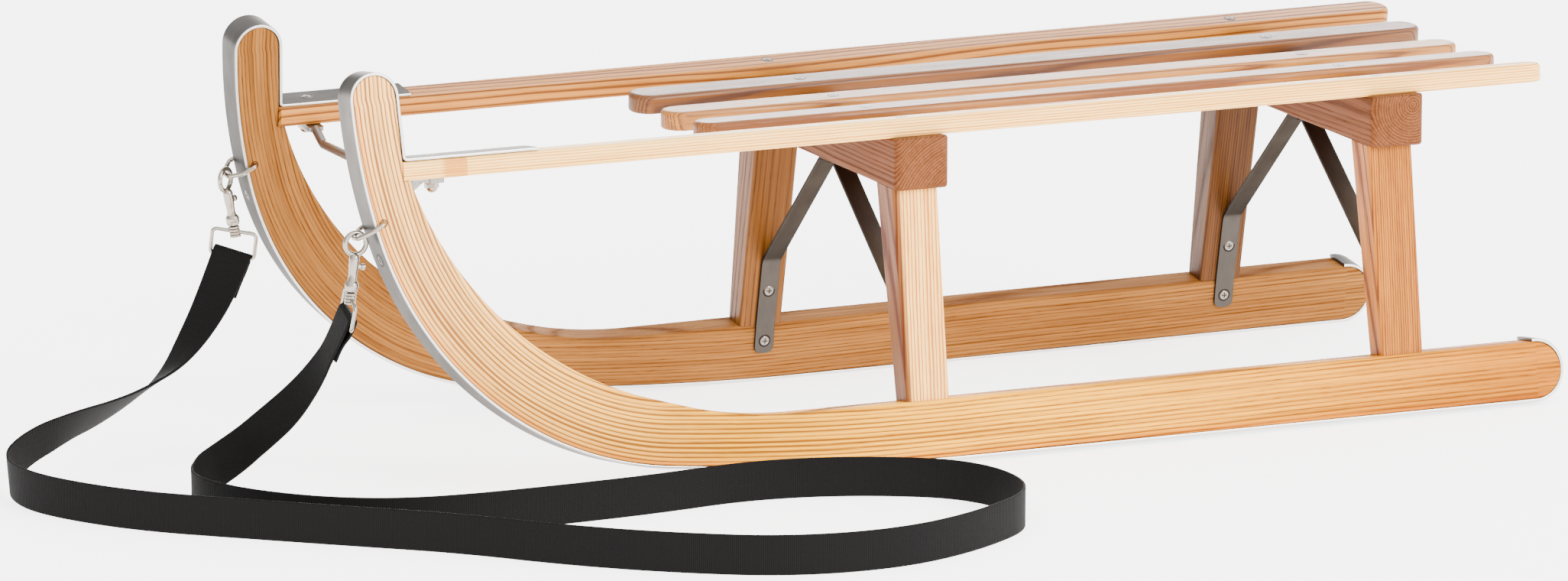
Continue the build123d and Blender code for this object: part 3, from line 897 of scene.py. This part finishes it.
def seat_lines(place):
    """Middle, width, height and tilt of each slat's underside over a beam."""
    y, z = leaning(seat_height, outer_slat_middle)
    inner_y = inner_slat_offset + (place - inner_reach) * dtan(inner_slat_fan)
    return [(y + half_track + place * dtan(toe), outer_slat_width, z, lean),
            (inner_y, inner_slat_width, seat_level - inner_slat_drop, inner_slat_lean),
            (0.0, inner_slat_width, seat_level - middle_slat_drop, 0.0)]


def make_beam(name, node, place, material, start):
    """A crossbeam with a hollowed top and a flat seat for each slat."""
    half = beam_half + place * dtan(toe)
    low = beam_under + beam_height
    bow = (half * half + beam_hollow_rise ** 2) / (2 * beam_hollow_rise)

    def crown(y):
        return low + bow - math.sqrt(bow * bow - y * y)

    ends = [half - beam_corner * (1 - dcos(a)) for a in range(0, 91, beam_corner_turn)]
    inside = [half * i / crown_steps for i in range(1 - crown_steps, crown_steps)]
    stops = {sign * y for y in ends for sign in (1, -1)} | {y for y in inside if abs(y) < half - beam_corner}
    rows, seats = [], []
    for centre, width, z, tilt in seat_lines(place):
        reach = width / 2 + seat_clearance
        for sign in (1, -1) if centre else (1,):
            middle = sign * centre
            a, b = middle - reach, middle + reach
            floor_a, floor_b = (min(crown(y), z + (y - middle) * dtan(sign * tilt)) for y in (a, b))
            rows += [(a - seat_step, crown(a)), (a, floor_a), (b, floor_b), (b + seat_step, crown(b))]
            seats.append((a, b))
    rows += [(y, crown(y)) for y in stops if not any(a < y < b for a, b in seats)]
    rings, grain = [], []
    for y, top in sorted(row for row in rows if abs(row[0]) <= half):
        x_half = beam_depth / 2 - corner_cut(beam_corner, half - abs(y))
        lift = max(0.0, beam_arris - (half - abs(y)))
        section = box_ring(-x_half, x_half, beam_under + lift, top - lift * beam_lift_share, beam_edges)
        rings.append([Vector((x - place + forward_shift, y, z)) * mm for z, x in section])
        grain += [grain_place(y + start, x, z - beam_under) for z, x in section]
    obj = ring_piece(name, rings, grain, material)
    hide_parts(node)


def leg_line(w, extra_lean, height):
    """Y on the leg's face that starts at w on the runner's top, at a height Z."""
    y, z = leaning(runner_top, w)
    return y - (height - z) * dtan(lean + extra_lean)


def make_leg(end, place, side, material, start):
    """A tapered leg between the runner and a crossbeam."""
    rings, grain = [], []
    for i in range(leg_steps + 1):
        share = i / leg_steps
        lead = leg_foot_lead + (leg_head_lead - leg_foot_lead) * share
        half = (leg_foot_width + (leg_head_width - leg_foot_width) * share) / 2
        places = []
        for w, extra in ((leg_inner, leg_inner_lean), (leg_outer, leg_outer_lean)):
            foot = leaning(runner_top, w)[1]
            z = foot + (beam_under - foot) * share
            places.append((leg_line(w, extra, z), z))
        (y_in, z_in), (y_out, z_out) = places
        ring = []
        for y, x in box_ring(lead - half, lead + half, y_in, y_out, (leg_arris,) * 4):
            z = z_in + (z_out - z_in) * (y - y_in) / (y_out - y_in)
            ring.append(side_place(x - place, y, z, side))
            grain.append(grain_place(z + start, x, y - y_in + leg_inner))
        rings.append(ring)
    obj = ring_piece(f"upright_{end}_{side}", rings, grain, material)
    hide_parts(f"leg_{end}_{side}")


def make_brace(end, place, side, material):
    """A flat brace from under the beam down over the runner's inner side; the right tab is the lower one."""
    under = beam_under if side == "left" else beam_under - brace_thickness
    track = half_track + place * dtan(toe)
    joint = leaning(runner_top, leg_inner)
    landing = joint[1] + brace_landing_share * (beam_under - joint[1])
    knee = (leg_line(leg_inner, leg_inner_lean, landing), landing)
    foot = leaning(runner_top - brace_foot, leg_inner)
    path = rounded([(-track - brace_tab, under, 0), (-track + brace_start, under, brace_bend_radius),
                    (*knee, brace_landing_radius), (*joint, brace_landing_radius), (*foot, 0)],
                   brace_arc_step, brace_straight_step)
    outwards = normals(path, -1)
    lengths = run_lengths(path)
    total = lengths[-1]
    marks = {s for s in lengths if s < total - brace_end_radius}
    marks |= {total - brace_end_radius * (1 - dcos(a)) for a in range(0, 91, brace_end_turn)}
    rings, grain = [], []
    for s in sorted(marks):
        i = max(j for j in range(len(lengths) - 1) if lengths[j] <= s + rounding)
        t = (s - lengths[i]) / (lengths[i + 1] - lengths[i])
        point, normal = ([a + (b - a) * t for a, b in zip(row[i], row[i + 1])] for row in (path, outwards))
        half = brace_width / 2 - corner_cut(brace_end_radius, total - s)
        section = flat_ring(half, brace_thickness, brace_edges)
        drift = brace_drift * min(1.0, max(0.0, (point[1] - landing) / (under - landing)))
        x_shift = drift - place - brace_setback
        rings.append([side_place(x + x_shift, *off(point, normal, k), side) for x, k in section])
        grain += [grain_place(s, x, k) for x, k in section]
    obj = ring_piece(f"flat_brace_{end}_{side}", rings, grain, material)
    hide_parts(f"brace_{end}_{side}")


def direction_frame(axis):
    """Two unit directions square to an axis and to each other."""
    axis = axis.normalized()
    first = axis.cross(Vector((0, 0, 1)) if abs(axis.z) < steep else Vector((1, 0, 0))).normalized()
    return first, axis.cross(first)


def round_points(origin, axis, rows, phase=0.0):
    """Rings of points round an axis; a row has the height and radius of each point of its ring."""
    axis = axis.normalized()
    first, second = direction_frame(axis)
    verts = []
    for row in rows:
        for k, (height, radius) in enumerate(row):
            a = 2 * math.pi * (k + phase) / len(row)
            out = (first * math.cos(a) + second * math.sin(a)) * radius
            verts.append(origin + (axis * height + out) * mm)
    return verts


def turned(origin, axis, profile, segments=turned_round):
    """Points and faces of a turned shape; profile rows are a distance along the axis and a radius."""
    rows = [[(s, max(r, smallest_radius))] * segments for s, r in profile]
    return round_points(origin, axis, rows), ring_faces(len(profile), segments)


def ring_tube(centre, across, upward, reach, wire):
    """A closed ring of slightly flattened wire, as points and faces."""
    normal = across.cross(upward)
    verts = []
    for i in range(eye_steps):
        a = 2 * math.pi * i / eye_steps
        out = across * math.cos(a) + upward * math.sin(a)
        for k in range(wire_round):
            b = 2 * math.pi * k / wire_round
            sideways = wire * eye_flatness * math.sin(b)
            verts.append(centre + (out * (reach + wire * math.cos(b)) + normal * sideways) * mm)
    return verts, ring_faces(eye_steps, wire_round, True, 0)


def wire_tube(points, radius, closed, around=wire_round):
    """Round wire along points, as points and faces."""
    verts = []
    count = len(points)
    side = None
    for i, point in enumerate(points):
        ahead = points[(i + 1) % count] if closed or i + 1 < count else point
        behind = points[i - 1] if closed or i else point
        heading = (ahead - behind).normalized()
        side = side - heading * side.dot(heading) if side else direction_frame(heading)[0]
        side.normalize()
        other = heading.cross(side)
        for k in range(around):
            b = 2 * math.pi * k / around
            verts.append(point + (side * math.cos(b) + other * math.sin(b)) * radius * mm)
    return verts, ring_faces(count, around, closed, 0 if closed else 2)


def joined(name, shapes, material, angle=sharp_angle):
    """One piece out of several lots of points and faces."""
    verts, faces = [], []
    for more, rows in shapes:
        faces += [tuple(i + len(verts) for i in row) for row in rows]
        verts += more
    return add_piece(name, verts, faces, material, angle)


def cross_outline(angle, arm, half):
    """Reach of a cross recess in a direction."""
    a = (angle + math.pi / 4) % (math.pi / 2) - math.pi / 4
    return min(arm / math.cos(a), half / max(abs(math.sin(a)), tiny))


def screw_head(origin, axis, radius, rise):
    """A low domed head with a cross recess."""
    angles = [2 * math.pi * (k + 0.5) / head_round for k in range(head_round)]
    outline = [cross_outline(a, radius * cross_arm_share, radius * cross_half_share) for a in angles]
    rows = [[(rise * height, radius * share)] * head_round for share, height in head_share_rows]
    for share, height in ((cross_flare, rise), (1.0, rise - cross_lip),
                          (cross_taper, rise - radius * cross_depth_share)):
        rows.append([(height, r * share) for r in outline])
    return round_points(origin, axis, rows, 0.5), ring_faces(len(rows), head_round, caps=1)


def screws(name, places, head, material):
    """Screw heads, each ringed in dark as painted shade of its countersink; each place comes with its
    outward axis.
    """
    radius, rise, reach = head
    rows = [(height, radius + (reach - radius) * share + more) for height, share, more in sink_rows]
    heads = [screw_head(p, n, radius, rise) for p, n in places]
    sink_shades = [turned(p, n, rows, sink_round) for p, n in places]
    joined(f"{name}_heads", heads, material, small_sharp_angle)
    joined(f"{name}_sinks", sink_shades, countersink_shade, small_sharp_angle)


def loop_corners(bar, along, rise):
    """Points round the swivel loop from its lower bar, with rounded corners."""
    half, low, high = loop_width / 2 - loop_corner, loop_corner, loop_height - loop_corner
    points = []
    for x, z, start in ((half, low, -90), (half, high, 0), (-half, high, 90), (-half, low, 180)):
        for k in range(loop_corner_steps + 1):
            a = start + 90 * k / loop_corner_steps
            place = along * (x + loop_corner * dcos(a)) + rise * (z + loop_corner * dsin(a))
            points.append(bar + place * mm)
    return points


def make_hook(side, eye, bar, along, eye_turn, material):
    """The snap hook, its thumb bolt and its swivel loop."""
    eye, bar, along = Vector(eye) * mm, Vector(bar) * mm, Vector(along).normalized()
    rise = eye - bar
    rise = (rise - along * rise.dot(along)).normalized()
    swivel = bar + rise * (loop_height * mm)
    axis = (swivel - eye).normalized()
    barrel_top = swivel - axis * (barrel_length / 2 * mm)
    collar_top = barrel_top - axis * ((barrel_gap + collar_length) * mm)
    flat = Vector((dcos(eye_turn), dsin(eye_turn), 0))
    across = (flat - axis * flat.dot(axis)).normalized()
    body = (collar_top - eye).length / mm
    gate = eye - flat * (eye_radius * mm) - axis * (gate_sink * mm)
    shank = [(eye_radius + s, r) for s, r in neck_rows]
    shank += [(body * share, r) for share, r in shank_share_rows]
    shank.append((body + shank_end[0], shank_end[1]))
    hook = joined(f"snap_body_{side}", [
        ring_tube(eye, flat, Vector((0, 0, 1)), eye_radius, eye_wire / 2), turned(eye, axis, shank),
        turned(collar_top, axis, collar_rows), turned(gate, axis, gate_rows, knob_round)], material)
    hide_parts(f"snap_hook_{side}")
    knob = eye + axis * (bolt_share * body * mm) - across * (bolt_sink * mm)
    bolt = joined(f"thumb_bolt_{side}", [turned(knob, -across, knob_rows, knob_round)], material)
    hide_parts(f"snap_bolt_{side}")
    ridges = [(ridge_lead + k * ridge_pitch + s, r) for k in range(ridge_count) for s, r in ridge_rows]
    wire = wire_tube(loop_corners(bar, along, rise), loop_wire / 2, True)
    barrel = turned(barrel_top, axis, [barrel_start, *ridges, barrel_end])
    loop = joined(f"strap_loop_{side}", [wire, barrel], material, loop_sharp_angle)
    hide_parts(f"swivel_loop_{side}")
    return hook, bolt, loop


def make_fold(side, start, ahead, turn, bar, material):
    """The strap's end, folded over the loop's bar and stitched down on to the strap."""
    width, depth = strap_frame(ahead - start, turn)
    heading = (ahead - start).normalized()
    if (bar * mm - start).dot(depth) <= 0:
        depth = -depth
    path = [(0.0, 0.0)] + [(-fold_radius * dsin(a), fold_radius * (1 - dcos(a)))
                           for a in range(fold_turn, 180, fold_turn)] + fold_lap
    rings, grain = [], []
    for (s, k), (back, up), run in zip(path, normals(path, 1), run_lengths(path)):
        out = heading * back + depth * up
        centre = start + (heading * s + depth * k) * mm
        rings.append([centre + (width * (w * fold_width_share) + out * (d * fold_depth_share)) * mm
                      for w, d in strap_profile])
        grain += [grain_place(run, w, d) for w, d in strap_profile]
    fold = ring_piece(f"strap_fold_{side}", rings, grain, material, soft_sharp_angle)
    stitches = []
    for s, height in stitch_rows:
        for j in range(-stitches_each_side, stitches_each_side + 1):
            centre = start + (heading * s + depth * height + width * (j * stitch_pitch)) * mm
            places = [centre + width * (x * mm) for x in stitch_ends]
            stitches.append(wire_tube(places, thread_radius, False, thread_round))
    thread = joined(f"strap_stitching_{side}", stitches, thread_material)
    return fold, thread


def ring_tones(n, count):
    """Darkness of the timber over the width of each ring."""
    ramp = n.node("ShaderNodeValToRGB", {"Fac": n.math("FRACT", count)})
    points = ramp.color_ramp.elements
    points[0].position, points[1].position = 0.0, 1.0
    for point in points:
        point.color = (ring_ends, ring_ends, ring_ends, 1)
    for position, value in ring_profile:
        points.new(position).color = (value, value, value, 1)
    return n.node("ShaderNodeSeparateColor", {0: ramp.outputs[0]}).outputs[0]


def wood(name, light, dark, spacing=2.2, pith=(90.0, 12.0), contrast=1.1, tones=0.7, gloss=0.38, wander=5.0,
         patches=(), drift=0.0, start_tone=0.5, shades=(), shine=0.12, fade=None):
    """Ash timber: rings round a pith line, rows of pores at each ring, and slow changes of tone.

    Places are in millimetres. A patch has its start, soft width, end and darkness; a shade its axis, start,
    soft width and colour; fade is where the figure starts and how far it takes to be full.
    """
    n = Nodes(bpy.data.materials.new(name))
    grain, along, across, through = n.grain()
    seen = {key: n.noise(grain, *row) for key, row in wood_noise.items()}
    fibre = seen["fibre"]
    y = n.add(across, pith[0] * mm, n.times(along, pith_tilt))
    z = n.add(through, pith[1] * mm)
    shift = n.add(n.sway(seen["slow"], wander * mm), n.sway(seen["quick"], quick_wander * mm))
    radius = n.add(n.math("POWER", n.add(n.times(y, y), n.times(z, z)), 0.5), shift)
    line = n.node("ShaderNodeCombineXYZ", {0: radius}).outputs[0]
    uneven = n.times(n.noise(line, *uneven_noise), uneven_rings)
    ring = ring_tones(n, n.add(n.times(radius, 1.0 / (spacing * mm)), uneven))
    pores = n.times(n.math("SUBTRACT", seen["pores"], pore_edge), pore_contrast, True)
    pores = n.times(pores, n.add(n.times(ring, pores_in_ring), pores_elsewhere))
    weight = n.math("SUBTRACT", n.noise(line, *weight_noise), 0.5)
    strength = n.times(n.add(seen["strength"], weight, least_strength), contrast)
    if fade:
        strength = n.times(strength, n.ramp(along, *fade))
    amount = n.add(n.times(n.math("SUBTRACT", ring, ring_middle), strength), n.sway(fibre, fibre_share),
                   n.sway(seen["streak"], streak_share), n.sway(seen["tone"], tones), start_tone,
                   n.times(pores, pore_darkness))
    for start, soft, end, depth in patches:
        inside = n.times(n.ramp(along, start, -soft), n.math("GREATER_THAN", along, end * mm))
        amount = n.add(amount, n.times(inside, depth))
    color = n.mix(n.add(amount, n.times(along, drift), clamp=True), light, dark)
    for axis, start, soft, shade in shades:
        value = along if axis == "along" else across
        color = n.mix(n.ramp(value, start, soft), color, shade, "MULTIPLY")
    rough = n.add(n.times(pores, pore_roughness), n.sway(fibre, fibre_roughness),
                  n.times(ring, ring_roughness), gloss)
    n.set(Base_Color=color, Specular_IOR_Level=shine, Roughness=rough)
    relief = n.math("SUBTRACT", n.times(pores, -1.0), n.times(ring, ring_relief))
    n.bump(n.add(relief, n.times(fibre, fibre_relief)), *wood_bump)
    return n.owner


def brushed(name, color, roughness):
    """Rolled steel with fine lines along it and a few darker clouds."""
    n = Nodes(bpy.data.materials.new(name))
    grain = n.grain()[0]
    lines = n.noise(grain, *line_noise)
    clouds = n.sway(n.noise(grain, *cloud_noise), cloud_share)
    amount = n.add(n.sway(lines, line_share), n.add(clouds, 0.5), clamp=True)
    dark = tuple(c * dark_share for c in color)
    light = tuple(min(1.0, c * light_share) for c in color)
    n.set(Base_Color=n.mix(amount, dark, light), Metallic=1.0, Specular_Tint=edge_tint,
          Roughness=n.add(n.sway(lines, line_roughness), roughness))
    n.bump(lines, *steel_bump)
    return n.owner


def plated(name, color, roughness, metallic=1.0):
    """Cast and plated metal, or a plain dull material, with a slightly uneven skin."""
    n = Nodes(bpy.data.materials.new(name))
    skin = n.noise(n.node("ShaderNodeTexCoord").outputs["Object"], *skin_noise)
    n.set(Base_Color=color, Metallic=metallic,
          Roughness=n.add(n.times(skin, skin_roughness), roughness - skin_smoothing))
    n.bump(skin, *skin_bump)
    return n.owner


def ribbed_webbing(name):
    """Near-black webbing: cross ribs with a woven edge, darker in the grooves as painted shade and with
    random fuzz.
    """
    n = Nodes(bpy.data.materials.new(name))
    grain, along, across, _ = n.grain()
    wave = n.math("SINE", n.times(along, 2 * math.pi / (rib_pitch * mm)))
    twill = n.math("SINE", n.add(n.times(across, 2 * math.pi / (twill_pitch * mm)), wave))
    fuzz = n.times(n.noise(grain, *fuzz_noise), fuzz_share)
    height = n.add(wave, n.add(n.times(twill, twill_share), fuzz))
    shade = n.add(n.times(height, rib_shade), webbing_shade, clamp=True)
    n.set(Base_Color=n.mix(shade, webbing_dark, webbing_light), Roughness=webbing_roughness,
          Specular_IOR_Level=webbing_shine)
    n.bump(height, *webbing_bump)
    return n.owner


# Steels, nickel, webbing and thread, each by name, colour and roughness
webbing = ribbed_webbing("webbing")
steel = brushed("steel_band", (0.215, 0.203, 0.192), 0.34)
dull_steel = brushed("steel_band_right", (0.165, 0.158, 0.152), 0.36)
# Pale steel on the band's narrow edges: a painted highlight
band_edge_highlight = plated("band_edge_highlight", (0.66, 0.64, 0.61), 0.3)
brace_steel = brushed("steel_brace", (0.060, 0.052, 0.045), 0.42)
rod_steel = plated("steel_rod", (0.22, 0.2, 0.185), 0.3)
nickel = plated("nickel", (0.31, 0.27, 0.225), 0.17)
screw_steel = plated("screw_steel", (0.10, 0.085, 0.075), 0.35)
bright_screw = plated("bright_screw", (0.20, 0.175, 0.15), 0.3)
# Near-black, painted as the shade in the countersink round each screw head
countersink_shade = plated("countersink_shade", (0.018, 0.014, 0.012), 0.5)
# Near-black brown, painted as the shade inside the tow rings' holes
hole_shade_material = plated("hole_shade", (0.06, 0.018, 0.006), 0.8)
thread_material = plated("thread", (0.006, 0.006, 0.006), 0.8, metallic=0.0)

make_camera()
make_sky()
make_floor()
make_lamp()
make_strap(webbing)

# Side frames
runner_wood = {
    "left": wood("ash_runner_left", *cream, spacing=3.3, contrast=1.3, drift=-0.12, start_tone=0.46,
                 gloss=0.55, shine=0.04, fade=(-350.0, 1200.0), shades=[
                     ("along", 1040.0, -330.0, (0.93, 0.78, 0.06)),
                     ("along", 420.0, -400.0, (0.62, 0.46, 0.8)),
                     # Darker along the edge next to the band: partly painted shade of the rounded edge,
                     # partly the darker first ring
                     ("across", -16.0, -4.0, (0.86, 0.68, 0.55))]),
    # The right runner's darker timber is partly painted shade of its inner face
    "right": wood("ash_runner_right", *honey, spacing=3.0, contrast=0.45, tones=0.5, gloss=0.6, shine=0.02)}
for side in sides:
    make_runner(side, runner_wood[side], runner_starts[side])
for side, material in zip(sides, (steel, dull_steel)):
    make_band(side, material)

# Slats; a shape has its front, length and width, and whether its front is square
outer_shape = (0, outer_slat_length, outer_slat_width, True)
inner_shape = (-inner_slat_setback, inner_slat_length, inner_slat_width, False)
short_slat_wood = {
    "left": wood("ash_slat_left", *gold, start_tone=1.05, shine=0.32),
    "right": wood("ash_slat_right", *russet, shine=0.32),
    "middle": wood("ash_slat_middle", *gold, contrast=1.0, shine=0.32)}
long_slat_wood = {
    "left": wood("ash_long_slat_left", *blond, spacing=2.0, pith=(12.0, 90.0), contrast=1.5, start_tone=0.34,
                 shine=0.2, patches=[(-29.0, 6.0, -51.0, 0.9)]),
    "right": wood("ash_long_slat_right", *gold, spacing=5.0, pith=(3.0, 14.0), contrast=1.5, wander=24.0)}
for side in sides:
    make_slat(f"long_slat_{side}", f"slat_outer_{side}", outer_shape, outer_place(side),
              long_slat_wood[side], outer_slat_starts[side])
    make_slat(f"short_slat_{side}", f"slat_inner_{side}", inner_shape, inner_place(side),
              short_slat_wood[side], inner_slat_starts[side])
make_slat("short_slat_middle", "slat_middle", inner_shape, middle_place,
          short_slat_wood["middle"], inner_slat_starts["middle"])

# Crossbeams, legs and braces
beam_wood = {
    "front": wood("ash_beam_front", *umber, pith=(40.0, 25.0), contrast=0.9, shine=0.02),
    "rear": wood("ash_beam_rear", *umber, pith=(0.0, -32.0), contrast=0.9, shine=0.02)}
leg_wood = {
    # The left front leg's front face is multiplied dark: painted shade
    ("front", "left"): wood("ash_leg_front_left", *pale, spacing=2.7, contrast=1.7,
                            shades=[("across", 14.0, 4.0, (0.19, 0.12, 0.10))]),
    ("rear", "left"): wood("ash_leg_rear_left", *tan, spacing=1.9, contrast=1.2),
    # The right legs' darker timber is partly painted shade
    ("front", "right"): wood("ash_leg_front_right", *amber, spacing=4.0, pith=(4.0, 20.0), contrast=0.6),
    ("rear", "right"): wood("ash_leg_rear_right", *brown, contrast=0.7)}
for end, place in beam_places.items():
    make_beam(f"beam_{end}", f"crossbeam_{end}", place, beam_wood[end], beam_starts[end])
    for side in sides:
        make_leg(end, place, side, leg_wood[end, side], leg_starts[end])
        make_brace(end, place, side, brace_steel)

# The rod and the tow rings are the solids themselves
for name, material in (("cross_rod", rod_steel), ("tow_ring_left", nickel), ("tow_ring_right", nickel)):
    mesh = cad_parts[name].data
    mesh.materials.clear()
    mesh.materials.append(material)

# Screws, bolts, and dark rings at the tow rings' holes, painted as the shade inside them
slat_screws, band_screws, brace_screws, hole_shade_places, nuts = [], [], [], [], []
for side in sides:
    origin = side_point(0, 0, 0, side)
    forwards, up_lean, outwards = ((side_point(*axis, side) - origin).normalized()
                                   for axis in ((1, 0, 0), (0, 1, 0), (0, 0, 1)))
    band_screws.append((side_point(-rod_setback, slat_top + band_thickness, 0, side), up_lean))
    spot, slope = band_front(horn_screw_rise)
    band_screws.append((side_point(*spot, 0, side), (forwards * slope[0] + up_lean * slope[1]).normalized()))
    for place in beam_places.values():
        slat_screws.append((side_point(-place + screw_lead, slat_top, outer_slat_middle, side), up_lean))
        for v in brace_screw_rises:
            w = leg_inner - brace_thickness - max(0.0, v - runner_top) * dtan(leg_inner_lean)
            brace_screws.append((side_point(-place - brace_setback, v, w, side), -outwards))
    for sign in (1, -1):
        hole_shade_places.append((side_point(ring_place, ring_rise, sign * runner_width / 2, side), outwards * sign))
    nuts.append((side_point(-rod_setback, seat_height - nut_drop, -nut_inset, side), -up_lean))
for place in beam_places.values():
    x = -place + screw_lead
    slat_screws.append((middle_place(x, 0, slat_thickness), Vector((0, 0, 1))))
    p = inner_place("left")(x, 0, slat_thickness)
    n = Vector((0, -dsin(inner_slat_lean), dcos(inner_slat_lean)))
    slat_screws += [(p, n), (mirrored_place(p), mirrored_place(n))]
screws("slat_screw", slat_screws, slat_head, screw_steel)
screws("band_screw", band_screws, band_head, screw_steel)
screws("brace_screw", brace_screws, brace_head, bright_screw)
joined("ring_hole_rims", [turned(p, n, hole_shade_rows, rim_round) for p, n in hole_shade_places], hole_shade_material)
dome_rows = [(dome_start + dome_rise * dsin(a), dome_radius * dcos(a)) for a in range(0, 91, dome_turn)]
nut_shapes = []
for p, n in nuts:
    for rows, segments in ((washer_rows, rim_round), (nut_rows, nut_sides), (dome_rows, turned_round)):
        nut_shapes.append(turned(p, n, rows, segments))
joined("rod_nuts", nut_shapes, nickel, small_sharp_angle)
